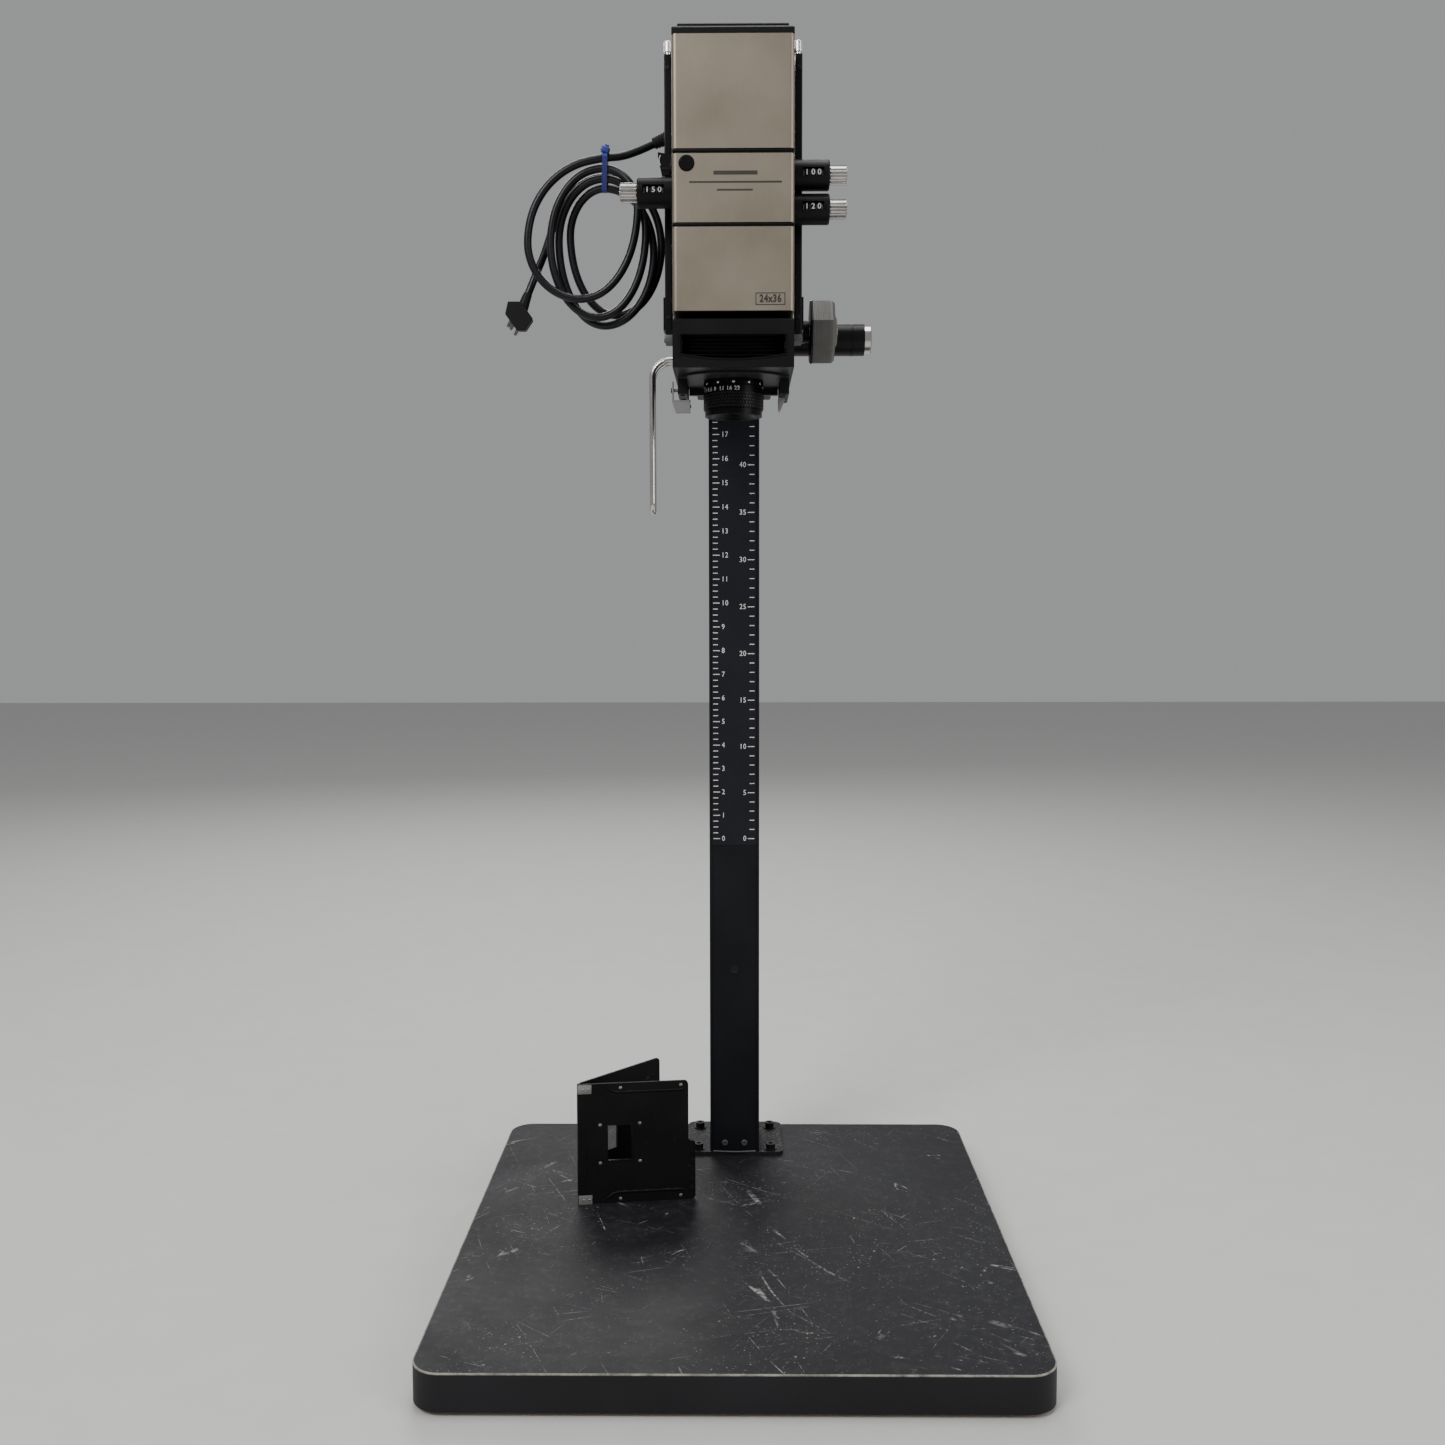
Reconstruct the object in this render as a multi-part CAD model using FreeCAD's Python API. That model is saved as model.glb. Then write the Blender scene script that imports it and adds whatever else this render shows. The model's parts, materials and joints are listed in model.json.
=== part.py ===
"""Photo enlarger with a dial-in colour head: one STEP file per sub-part.

Millimetres.  The origin is on the ground below the middle of the baseboard, +Z is up and the
front, where the operator stands, faces -Y.  +X is the side of the focus knob.
"""
import FreeCAD, Part
import math
import os
from FreeCAD import Vector as V

os.makedirs("parts", exist_ok=True)

# ---------------------------------------------------------------- driving dimensions
# Baseboard
BOARD_HALF_X = 258.0
BOARD_HALF_Y = 272.0
BOARD_BOTTOM = 4.0
BOARD_TOP = 36.0
BOARD_CORNER_R = 25.0
LAMINATE_T = 1.5
FOOT_PAD_R = 11.0
FOOT_PAD_X = 215.0
FOOT_PAD_Y = 230.0

# Column and its foot
COLUMN_HALF_X = 26.875
COLUMN_FRONT_Y = 177.0
COLUMN_DEPTH = 62.0
COLUMN_WALL = 3.0
COLUMN_TOP = 1146.0
CHANNEL_HALF_X = 24.4
CHANNEL_DEPTH = 1.2
SCALE_BOTTOM = 380.7
SCALE_TOP = 1130.0
SCALE_T = 0.8
PLATE_T = 4.0
PLATE_HALF_X = 53.0
PLATE_Y = (175.2, 268.5)
BOLT_X = 39.7
BOLT_Y = (185.0, 249.5)
BOLT_R = 3.0
BOLT_HEAD_R = 5.0
BOLT_HEAD_H = 5.5
BOLT_HOLE_R = 3.3

# Carriage that runs on the column
SLEEVE_Z = (866.0, 1060.0)
SLEEVE_HALF_X = 40.0
SLEEVE_BORE_HALF_X = 33.0
SLEEVE_WALL = 6.0
PAD_GAP = 0.15
CHEEK_X = (47.0, 53.0)
CHEEK_FRONT_Y = 40.5
REAR_PLATE_T = 6.0

# Optical axis and the stage stack below the lamphouse
AXIS_Y = -13.0
HEAD_FRONT_Y = -85.0
HEAD_HALF_X = 53.0
COVER_BOTTOM = 845.0
STAGE_BOTTOM = 876.3
STAGE_TOP = 887.0
LAMP_BOTTOM = 893.0
LAMP_REAR_Y = 40.0
GATE_HALF = 20.0

# Lamphouse modules, front to back
MODULE_Z = ((1030.7, 1126.2), (968.4, 1026.5), (893.4, 964.7))
COVER_T = 1.5
COVER_CORNER_R = 4.0
COVER_REAR_Y = -25.0
BODY_TOP = 1126.2
CAP_STEP_Z = 1133.2
CAP_TOP = 1136.6
POST_X = (55.7, 62.3)
POST_Y = (-25.0, -5.0)
POST_Z = (888.7, 1132.0)
SHOE_Z = (888.7, 918.2)

# Filter controls: side (-1 left, +1 right), shaft height, units dialled in at rest
CONTROLS = {"left": (-1, 1003.8, 150.0), "upper_right": (1, 1018.3, 100.0),
            "lower_right": (1, 988.9, 120.0)}
CONTROL_Y = -48.0
HOUSING_X = 85.2
HOUSING_R = 13.3
HOUSING_BORE_R = 11.0
DIAL_R = 8.7
DIAL_X = (85.6, 100.2)
SHAFT_R = 3.0
UNIT_TRAVEL = 0.15
FILTER_OUT_X = 47.0
FILTER_WIDTH = 26.0

# Focusing drive
FOCUS_Y = 60.0
FOCUS_Z = 903.0
GEAR_TEETH = 18
GEAR_MODULE = 1.0
GEAR_BACKLASH = 0.20
GEAR_HALF_X = 6.0
FOCUS_SHAFT_R = 4.0
KNOB_X = (74.5, 97.0)
KNOB_R = 31.2
KNOB_TURN_DEG = 9.5

# Lens stage and lens
PLATE_Z = (845.0, 848.0)
BOARD_Z = 843.5
LENS_BOARD_R = 56.0
CLAMP_X = (42.3, 50.6)
CLAMP_Y = (-33.0, 25.0)
CLAMP_BOTTOM = 830.0
LENS_R = 27.5
LENS_BOTTOM = 811.7
RING_Z = (817.2, 837.8)
LATCH_Y = -27.0
LATCH_Z = 834.0

# Lift lever
LEVER_Y = 60.0
LEVER_Z = 875.0
HUB_R = 13.0
CAM_R = 9.0
CAM_THROW = 4.7
BAIL_R = 2.75
BAIL_X = -79.0
BAIL_HALF_Y = 8.0
BAIL_BEND_R = 18.0
BAIL_BOTTOM = 729.8

# Carriage handle
GRIP_Y = 117.0
GRIP_Z = 905.6
GRIP_R = 15.6
GRIP_END_X = 131.4
BUTTON_R = 14.3

# Negative carrier, standing open on the baseboard
LEAF_HINGE = (-156.0, 47.3)
LEAF_ANGLE = 7.6
LEAF_OPEN = 40.2
LEAF_W = 110.0
REAR_LEAF_W = 114.0
LEAF_H = 124.0
LEAF_T = 2.0
WINDOW = (24.0, 36.0)
WINDOW_FROM_HINGE = 40.5
WINDOW_Z = 98.6
TAB_TOP = 97.0

# Mains cord
CORD_R = 3.65
CORD_EXIT = (-53.2, 15.0, 1075.0)
LEAD_ROUTE = [CORD_EXIT, (-71.5, 14.0, 1067.2), (-88.0, 11.5, 1059.0), (-104.0, 9.0, 1053.0)]
TAIL_ROUTE = [(-170.0, 26.0, 996.0), (-177.5, 25.5, 971.0), (-188.0, 20.5, 945.0),
              (-199.0, 14.5, 915.0)]
PLUG_OUTLINE = [(-210.8, 922.0), (-199.1, 922.0), (-187.6, 906.1), (-195.1, 895.3),
                (-202.8, 895.3), (-213.6, 910.4)]
PLUG_Y = (7.0, 23.0)
PLUG_BACK_SCALE = 0.9
PIN_STARTS = [(-206.6, 9.9, 908.4), (-204.1, 9.9, 905.8), (-200.1, 9.9, 900.7)]
PIN_OUT, PIN_R, PIN_LENGTH = (-0.45, 0.72, -0.53), 1.6, 14.0
COIL_CENTRE = (-131.0, 975.0)
COIL_HALF = (68.0, 79.5)
COIL_HOLE_CENTRE = (-125.5, 979.0)
COIL_HOLE_HALF = (23.0, 44.0)
COIL_TILT = -7.0
COIL_Y = (-1.5, 31.0)
TIE_X = -119.5

X, Y, Z = V(1, 0, 0), V(0, 1, 0), V(0, 0, 1)


# ---------------------------------------------------------------- small helpers
def box(x, y, z):
    """A box from three (low, high) pairs."""
    return Part.makeBox(x[1] - x[0], y[1] - y[0], z[1] - z[0], V(x[0], y[0], z[0]))


def cyl(start, direction, radius, length):
    return Part.makeCylinder(radius, length, V(*start), direction)


def plate_outline(half_x, y, corner, z, height):
    """A plate with rounded corners in plan."""
    solid = box((-half_x, half_x), y, (z, z + height))
    upright = [e for e in solid.Edges if abs(e.tangentAt(e.FirstParameter).z) > 0.99]
    return solid.makeFillet(corner, upright)


def prism_x(outline, x):
    """Extrudes a closed (y, z) outline along X."""
    wire = Part.makePolygon([V(x[0], a, b) for a, b in outline + outline[:1]])
    return Part.Face(wire).extrude(V(x[1] - x[0], 0, 0))


def prism_z(outline, z):
    """Extrudes a closed (x, y) outline along Z."""
    wire = Part.makePolygon([V(a, b, z[0]) for a, b in outline + outline[:1]])
    return Part.Face(wire).extrude(V(0, 0, z[1] - z[0]))


def mirrored(solid):
    """The solid and its twin on the other side of X = 0."""
    return [solid, solid.mirror(V(0, 0, 0), X)]


def group(solids):
    return Part.makeCompound(solids)


def union(first, *others):
    return first.fuse(list(others)).removeSplitter()


def save(name, shape):
    bad = [s for s in shape.Solids if not s.isValid()]
    print(f"{name:22s} solids {len(shape.Solids):2d}  volume {shape.Volume / 1000:9.2f} cm3"
          + ("  INVALID" if bad or not shape.Solids else ""))
    shape.exportStep(f"parts/{name}.step")


# ---------------------------------------------------------------- cord helpers
def arc_route(points):
    """Straight runs joined by tangent arcs, with each arc as large as its two runs allow."""
    pts = [V(*p) for p in points]
    edges, start, radii = [], pts[0], []
    for before, corner, after in zip(pts, pts[1:], pts[2:]):
        a, b = (corner - before), (after - corner)
        turn = a.getAngle(b)
        cut = 0.45 * min(a.Length, b.Length)
        radii.append(cut / math.tan(turn / 2))
        a.normalize()
        b.normalize()
        enter, leave = corner - a * cut, corner + b * cut
        middle = (enter + leave) * 0.5
        towards = (middle - corner)
        towards.normalize()
        centre = corner + towards * (radii[-1] / math.cos(turn / 2))
        on_arc = centre - towards * radii[-1]
        edges.append(Part.LineSegment(start, enter).toShape())
        edges.append(Part.Arc(enter, on_arc, leave).toShape())
        start = leave
    edges.append(Part.LineSegment(start, pts[-1]).toShape())
    return Part.Wire(edges), radii


def cord_tube(name, points):
    path, radii = arc_route(points)
    first = V(*points[1]) - V(*points[0])
    ring = Part.Wire(Part.makeCircle(CORD_R, V(*points[0]), first))
    tube = path.makePipeShell([ring], True, False)
    expected = math.pi * CORD_R ** 2 * path.Length
    print(f"{name}: radii {[round(r, 1) for r in radii]}, length {path.Length:.1f}, "
          f"volume over section x length {tube.Volume / expected:.3f}")
    return tube


# ---------------------------------------------------------------- stand
def board_laminate():
    outer = plate_outline(BOARD_HALF_X, (-BOARD_HALF_Y, BOARD_HALF_Y), BOARD_CORNER_R,
                          BOARD_BOTTOM, BOARD_TOP - BOARD_BOTTOM)
    top_edges = [e for e in outer.Edges if e.BoundBox.ZMin > BOARD_TOP - 0.01]
    return outer.makeFillet(1.0, top_edges).cut(board_core()).cut(bolt_holes())


def board_core():
    inset = BOARD_HALF_Y - LAMINATE_T
    return plate_outline(BOARD_HALF_X - LAMINATE_T, (-inset, inset),
                         BOARD_CORNER_R - LAMINATE_T, BOARD_BOTTOM,
                         BOARD_TOP - LAMINATE_T - BOARD_BOTTOM)


def bolt_places():
    return [(x, y) for x in (-BOLT_X, BOLT_X) for y in BOLT_Y]


def bolt_holes():
    return group([cyl((x, y, -1), Z, BOLT_HOLE_R, BOARD_TOP + PLATE_T + 2) for x, y in bolt_places()])


def foot_bolts():
    """Socket-head bolts with a washer each."""
    bolts = []
    washer_t, socket_r, socket_depth = 1.0, 2.5, 3.5
    seat = BOARD_TOP + PLATE_T
    for x, y in bolt_places():
        shank = cyl((x, y, BOARD_BOTTOM + 6), Z, BOLT_R, seat - BOARD_BOTTOM - 6 + washer_t)
        washer = cyl((x, y, seat), Z, BOLT_HEAD_R + 2, washer_t)
        head = cyl((x, y, seat + washer_t), Z, BOLT_HEAD_R, BOLT_HEAD_H)
        socket = cyl((x, y, seat + washer_t + BOLT_HEAD_H - socket_depth), Z, socket_r, socket_depth)
        bolts.append(union(shank, washer, head).cut(socket))
    return group(bolts)


def rubber_feet():
    return group([cyl((x, y, 0), Z, FOOT_PAD_R, BOARD_BOTTOM)
                  for x in (-FOOT_PAD_X, FOOT_PAD_X) for y in (-FOOT_PAD_Y, FOOT_PAD_Y)])


def column_foot():
    """Bolted plate with a spigot that stands inside the hollow column."""
    plate = plate_outline(PLATE_HALF_X, PLATE_Y, 8.0, BOARD_TOP, PLATE_T)
    clearance, spigot_h = 0.2, 60.0
    half = COLUMN_HALF_X - COLUMN_WALL - clearance
    rear = COLUMN_FRONT_Y + COLUMN_DEPTH - COLUMN_WALL - clearance
    front = COLUMN_FRONT_Y + CHANNEL_DEPTH + COLUMN_WALL + clearance
    spigot = box((-half, half), (front, rear), (BOARD_TOP + PLATE_T, BOARD_TOP + PLATE_T + spigot_h))
    return union(plate, spigot).cut(bolt_holes())


def column():
    y = (COLUMN_FRONT_Y, COLUMN_FRONT_Y + COLUMN_DEPTH)
    z = (BOARD_TOP + PLATE_T, COLUMN_TOP)
    outer = plate_outline(COLUMN_HALF_X, y, 1.2, z[0], z[1] - z[0])
    channel = box((-CHANNEL_HALF_X, CHANNEL_HALF_X), (y[0] - 1, y[0] + CHANNEL_DEPTH), z)
    half = COLUMN_HALF_X - COLUMN_WALL
    bore = box((-half, half), (y[0] + CHANNEL_DEPTH + COLUMN_WALL, y[1] - COLUMN_WALL), z)
    return outer.cut(channel).cut(bore)


def column_scales():
    y = (COLUMN_FRONT_Y + CHANNEL_DEPTH - SCALE_T, COLUMN_FRONT_Y + CHANNEL_DEPTH)
    half = CHANNEL_HALF_X - 0.4
    return box((-half, half), y, (SCALE_BOTTOM, SCALE_TOP))


def column_cap():
    overhang, cap_t = 1.5, 4.0
    y = (COLUMN_FRONT_Y - overhang, COLUMN_FRONT_Y + COLUMN_DEPTH + overhang)
    return plate_outline(COLUMN_HALF_X + overhang, y, 3.0, COLUMN_TOP, cap_t)


def counterbalance_spring():
    """Drum of the spring that balances the head, hung under the cap inside the column."""
    centre_y, centre_z, radius, half = COLUMN_FRONT_Y + COLUMN_DEPTH / 2, 1118.0, 22.0, 16.0
    drum = cyl((-half, centre_y, centre_z), X, radius, 2 * half)
    axle = cyl((-COLUMN_HALF_X + COLUMN_WALL, centre_y, centre_z), X, 4.0,
               2 * (COLUMN_HALF_X - COLUMN_WALL))
    return union(drum, axle)


# ---------------------------------------------------------------- carriage
def carriage_sleeve():
    """Square sleeve around the column."""
    front = COLUMN_FRONT_Y - 4 - SLEEVE_WALL
    rear = COLUMN_FRONT_Y + COLUMN_DEPTH + 4 + SLEEVE_WALL
    height = SLEEVE_Z[1] - SLEEVE_Z[0]
    outer = plate_outline(SLEEVE_HALF_X, (front, rear), 4.0, SLEEVE_Z[0], height)
    bore = box((-SLEEVE_BORE_HALF_X, SLEEVE_BORE_HALF_X), (front + SLEEVE_WALL, rear - SLEEVE_WALL),
               SLEEVE_Z)
    return outer.cut(bore)


def glide_pads():
    """Nylon pads between the sleeve and the column, at the sleeve's two ends."""
    front, rear = COLUMN_FRONT_Y, COLUMN_FRONT_Y + COLUMN_DEPTH
    pads = []
    for z in ((870.0, 892.0), (1034.0, 1056.0)):
        pads += mirrored(box((CHANNEL_HALF_X + 0.2, 26.6), (front - 4, front - PAD_GAP), z))
        pads += mirrored(box((10.0, 24.0), (rear + PAD_GAP, rear + 4), z))
        pads += mirrored(box((COLUMN_HALF_X + PAD_GAP, SLEEVE_BORE_HALF_X), (200.0, 216.0), z))
    return group(pads)


def head_frame():
    """Two cheeks and a rear plate, cast in one, that carry the head in front of the sleeve."""
    rear = COLUMN_FRONT_Y - 4 - SLEEVE_WALL
    outline = [(CHEEK_FRONT_Y, 858.0), (78.0, 858.0), (92.0, 866.0), (rear, 866.0),
               (rear, 1000.0), (150.0, 1000.0), (92.0, 930.0), (CHEEK_FRONT_Y, 930.0)]
    left, right = [prism_x(outline, x) for x in ((-CHEEK_X[1], -CHEEK_X[0]), CHEEK_X)]
    rear_plate = box((-CHEEK_X[0], CHEEK_X[0]), (rear - REAR_PLATE_T, rear), (866.0, 1000.0))
    boss_r, boss_end = 10.5, 73.0
    boss = cyl((CHEEK_X[0], FOCUS_Y, FOCUS_Z), X, boss_r, boss_end - CHEEK_X[0])
    gusset = prism_z([(CHEEK_X[1], FOCUS_Y - 3), (boss_end - 4, FOCUS_Y - 3),
                      (boss_end - 4, FOCUS_Y + 3), (CHEEK_X[1], FOCUS_Y + 28)],
                     (FOCUS_Z - boss_r, FOCUS_Z - boss_r + 5))
    frame = union(left, right, rear_plate, boss, gusset)
    frame = frame.cut(cyl((CHEEK_X[0] - 1, FOCUS_Y, FOCUS_Z), X, FOCUS_SHAFT_R + 0.05, 40))
    return frame.cut(cyl((-CHEEK_X[1] - 1, LEVER_Y, LEVER_Z), X, HUB_R + 0.08, 8))


def focus_bridge():
    """Cross bar between the cheeks with two ears that hold the pinion and guide the rack."""
    inner = CHEEK_X[0] - 0.02
    bar = box((-inner, inner), (72.0, 80.0), (888.0, 918.0))
    ears = mirrored(box((GEAR_HALF_X + 0.3, 14.0), (43.0, 72.5), (892.0, 914.0)))
    bore = cyl((-20, FOCUS_Y, FOCUS_Z), X, FOCUS_SHAFT_R + 0.05, 40)
    return union(bar, *ears).cut(bore)


def negative_stage():
    """Plate below the slot for the negative carrier, with the rib that the lamphouse rests on."""
    plate = box((-HEAD_HALF_X, HEAD_HALF_X), (HEAD_FRONT_Y, CHEEK_FRONT_Y), (STAGE_BOTTOM, STAGE_TOP))
    front_edges = [e for e in plate.Edges if e.BoundBox.YMax < HEAD_FRONT_Y + 0.01
                   and e.BoundBox.ZMin > STAGE_TOP - 0.01]
    plate = plate.makeChamfer(1.5, front_edges)
    rib = box((-36, 36), (CHEEK_FRONT_Y - 3.5, CHEEK_FRONT_Y), (STAGE_TOP, LAMP_BOTTOM - 0.1))
    gate = box((-GATE_HALF, GATE_HALF), (AXIS_Y - GATE_HALF, AXIS_Y + GATE_HALF),
               (STAGE_BOTTOM - 1, STAGE_TOP + 1))
    return union(plate, rib).cut(gate)


def bellows_cover():
    """Skirt below the stage, open behind, with a window in front whose lower edge is dished."""
    wall, z = 1.7, (COVER_BOTTOM, STAGE_BOTTOM)
    outer = box((-HEAD_HALF_X, HEAD_HALF_X), (HEAD_FRONT_Y, CHEEK_FRONT_Y), z)
    inner = box((-HEAD_HALF_X + wall, HEAD_HALF_X - wall),
                (HEAD_FRONT_Y + wall, CHEEK_FRONT_Y + 1), (z[0] - 1, z[1] + 1))
    half, low, top, dish = 46.0, 857.0, 873.0, 4.5
    corners = [V(-half, HEAD_FRONT_Y - 1, low), V(-half, HEAD_FRONT_Y - 1, top),
               V(half, HEAD_FRONT_Y - 1, top), V(half, HEAD_FRONT_Y - 1, low)]
    edges = [Part.LineSegment(a, b).toShape() for a, b in zip(corners, corners[1:])]
    edges.append(Part.Arc(corners[3], V(0, HEAD_FRONT_Y - 1, low - dish), corners[0]).toShape())
    window = Part.Face(Part.Wire(edges)).extrude(V(0, wall + 2, 0))
    return outer.cut(inner).cut(window)


def bellows():
    """Pleated light-tight sleeve between the stage and the lens plate."""
    pleats, bottom = 7, PLATE_Z[1] + 0.2
    step = (STAGE_BOTTOM - bottom) / pleats
    half_y, solids = 50.0, []
    for i in range(pleats):
        inset = 0.0 if i % 2 else 4.0
        z = (bottom + i * step, bottom + (i + 1) * step)
        solids.append(box((-45 + inset, 45 - inset),
                          (AXIS_Y - half_y - 12 + inset, AXIS_Y + half_y - inset), z))
    hollow = box((-36, 36), (AXIS_Y - 40, AXIS_Y + 40), (bottom - 1, STAGE_BOTTOM + 1))
    return union(*solids).cut(hollow)


def guide_posts():
    """Uprights beside the lamphouse with a shoe low on each, and the foot that holds each one."""
    post = box(POST_X, POST_Y, POST_Z)
    upright = [e for e in post.Edges if abs(e.tangentAt(e.FirstParameter).z) > 0.99]
    post = post.makeFillet(1.5, upright)
    shoe = box((POST_X[1] - 1, POST_X[1] + 1.6), (POST_Y[0] + 2, POST_Y[1] - 2), SHOE_Z)
    post = union(post, shoe)
    stud = cyl((59.0, -15.0, POST_Z[1] - 16.0), Z, 2.1, 17)
    foot = prism_z([(HEAD_HALF_X, POST_Y[0]), (POST_X[1] - 2, POST_Y[0]),
                    (POST_X[1], POST_Y[0] + 2), (POST_X[1], POST_Y[1]),
                    (HEAD_HALF_X, POST_Y[1])], (STAGE_BOTTOM + 1.6, POST_Z[0]))
    return group(mirrored(post.cut(stud)) + mirrored(foot))


def thumb_screw(side):
    """Knurled screw on top of a guide post."""
    x, y, base, flutes, radius = side * 59.0, -15.0, POST_Z[1], 12, 3.8
    head = cyl((x, y, base + 4.6), Z, radius, 9.8)
    head = head.makeChamfer(0.5, [e for e in head.Edges if e.Curve.TypeId == "Part::GeomCircle"])
    for i in range(flutes):
        turn = 2 * math.pi * i / flutes
        head = head.cut(cyl((x + (radius + 0.1) * math.cos(turn), y + (radius + 0.1) * math.sin(turn),
                             base + 4), Z, 0.4, 11))
    neck = cyl((x, y, base + 0.2), Z, 2.7, 4.6)
    stud = cyl((x, y, base - 14), Z, 2.0, 14.5)
    return union(head, neck, stud)


def handle_grip():
    """Tubular grip, with a counterbore at its end for the release button."""
    grip = cyl((CHEEK_X[1], GRIP_Y, GRIP_Z), X, GRIP_R, GRIP_END_X - CHEEK_X[1])
    end = [e for e in grip.Edges if e.BoundBox.XMin > GRIP_END_X - 0.01 and e.Length > 1]
    grip = grip.makeChamfer(0.4, end[:1])
    recess = cyl((GRIP_END_X - 10.4, GRIP_Y, GRIP_Z), X, BUTTON_R + 0.25, 12)
    return grip.cut(recess).cut(cyl((CHEEK_X[0], GRIP_Y, GRIP_Z), X, 4.3, 90))


def release_button():
    """Button and push rod, in one, that free the carriage."""
    head = cyl((GRIP_END_X - 6.0, GRIP_Y, GRIP_Z), X, BUTTON_R, 12.8)
    outer = [e for e in head.Edges if e.BoundBox.XMin > GRIP_END_X + 6.7 and e.Length > 1]
    head = head.makeChamfer(1.0, outer[:1])
    dimple = cyl((GRIP_END_X + 6.0, GRIP_Y, GRIP_Z), X, 8.0, 2)
    rod_start = CHEEK_X[1] + 4.6
    rod = cyl((rod_start, GRIP_Y, GRIP_Z), X, 4.0, GRIP_END_X - 5.0 - rod_start)
    return union(head.cut(dimple), rod)


# ---------------------------------------------------------------- focusing drive
def involute_gear_outline(teeth, module, backlash):
    """(y, z) points of a spur gear about the origin, with involute flanks."""
    pitch_r = teeth * module / 2
    base_r = pitch_r * math.cos(math.radians(20))
    tip_r, root_r = pitch_r + 0.9 * module, pitch_r - 1.2 * module
    half_at_pitch = math.pi / (2 * teeth) - backlash / (2 * pitch_r)
    roll_pitch = math.tan(math.radians(20)) - math.radians(20)

    def half_angle(radius):
        pressure = math.acos(min(1.0, base_r / radius))
        return half_at_pitch + roll_pitch - (math.tan(pressure) - pressure)

    radii = [base_r + (tip_r - base_r) * i / 4 for i in range(5)]
    points = []
    for tooth in range(teeth):
        mid = 2 * math.pi * tooth / teeth
        flank = [(r, half_angle(r)) for r in radii]
        side = [(root_r, half_angle(base_r))] + flank
        for r, a in side:
            points.append((r, mid - a))
        for r, a in reversed(side):
            points.append((r, mid + a))
    return [(r * math.cos(a), r * math.sin(a)) for r, a in points]


def focus_shaft():
    """Shaft with its pinion; a tooth gap faces the rack at rest."""
    outline = involute_gear_outline(GEAR_TEETH, GEAR_MODULE, GEAR_BACKLASH)
    gear = prism_x([(y + FOCUS_Y, z + FOCUS_Z) for y, z in outline], (-GEAR_HALF_X, GEAR_HALF_X))
    shaft = cyl((-16.0, FOCUS_Y, FOCUS_Z), X, FOCUS_SHAFT_R, KNOB_X[1] - 8 + 16)
    return union(gear, shaft)


def focus_rack():
    """Rack in front of the pinion: a tooth stands on the pitch point only between two pinion teeth."""
    pitch = math.pi * GEAR_MODULE
    line_y = FOCUS_Y - GEAR_TEETH * GEAR_MODULE / 2
    back_y, tip, root = 43.0, line_y + 0.9 * GEAR_MODULE, line_y - 1.15 * GEAR_MODULE
    lean = math.tan(math.radians(20))
    half = pitch / 4 - GEAR_BACKLASH / 2
    below, above = 14, 24
    # The pinion has a tooth straight towards the rack when its tooth count is even.
    offset = pitch / 2 if GEAR_TEETH % 2 == 0 else 0.0
    points = [(back_y, FOCUS_Z - below * pitch), (root, FOCUS_Z - below * pitch)]
    for i in range(-below, above):
        centre = FOCUS_Z + i * pitch + offset
        foot, crown = half + (line_y - root) * lean, half - (tip - line_y) * lean
        points += [(root, centre - foot), (tip, centre - crown), (tip, centre + crown),
                   (root, centre + foot)]
    points += [(root, FOCUS_Z + (above + 0.5) * pitch), (back_y, FOCUS_Z + (above + 0.5) * pitch)]
    rack = prism_x(points, (-GEAR_HALF_X, GEAR_HALF_X))
    foot = box((-GEAR_HALF_X, GEAR_HALF_X), (back_y, root), (PLATE_Z[1], FOCUS_Z - below * pitch + 1))
    return union(rack, foot)


def focus_knob():
    """Eight-sided knob with a bevelled outer face and a low dome at its middle."""
    corners = [(FOCUS_Y + KNOB_R * math.cos(a), FOCUS_Z + KNOB_R * math.sin(a))
               for a in [math.radians(180 - KNOB_TURN_DEG + 45 * i) for i in range(8)]]
    body = prism_x(corners, KNOB_X)
    rim = [e for e in body.Edges if e.BoundBox.XMin > KNOB_X[1] - 0.01]
    body = body.makeChamfer(2.4, rim)
    dome = Part.makeCone(17.0, 13.5, 2.2, V(KNOB_X[1], FOCUS_Y, FOCUS_Z), X)
    bore = cyl((KNOB_X[0] - 1, FOCUS_Y, FOCUS_Z), X, FOCUS_SHAFT_R, KNOB_X[1] - 8 - KNOB_X[0] + 1)
    return union(body, dome).cut(bore)


# ---------------------------------------------------------------- lens stage
def lens_stage_plate():
    """Plate that closes the skirt, with a cross lip behind the lens and a tongue for the rack."""
    plate = box((-51, 51), (HEAD_FRONT_Y + 2.0, 39.0), PLATE_Z)
    tongue = box((-20, 20), (38.0, 51.0), PLATE_Z)
    lip = box((-42, 42), (25.0, 31.0), (837.5, PLATE_Z[0] + 1))
    return union(plate, tongue, lip).cut(cyl((0, AXIS_Y, 830), Z, 19.0, 30))


def lens_board():
    """Round board, cut straight at its sides, that the lens screws into."""
    disc = cyl((0, AXIS_Y - 2, BOARD_Z), Z, LENS_BOARD_R, PLATE_Z[0] - BOARD_Z)
    sides = box((-50.5, 50.5), (-80, 24.8), (BOARD_Z - 1, PLATE_Z[0] + 1))
    return disc.common(sides).cut(cyl((0, AXIS_Y, 830), Z, 19.0, 30))


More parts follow.
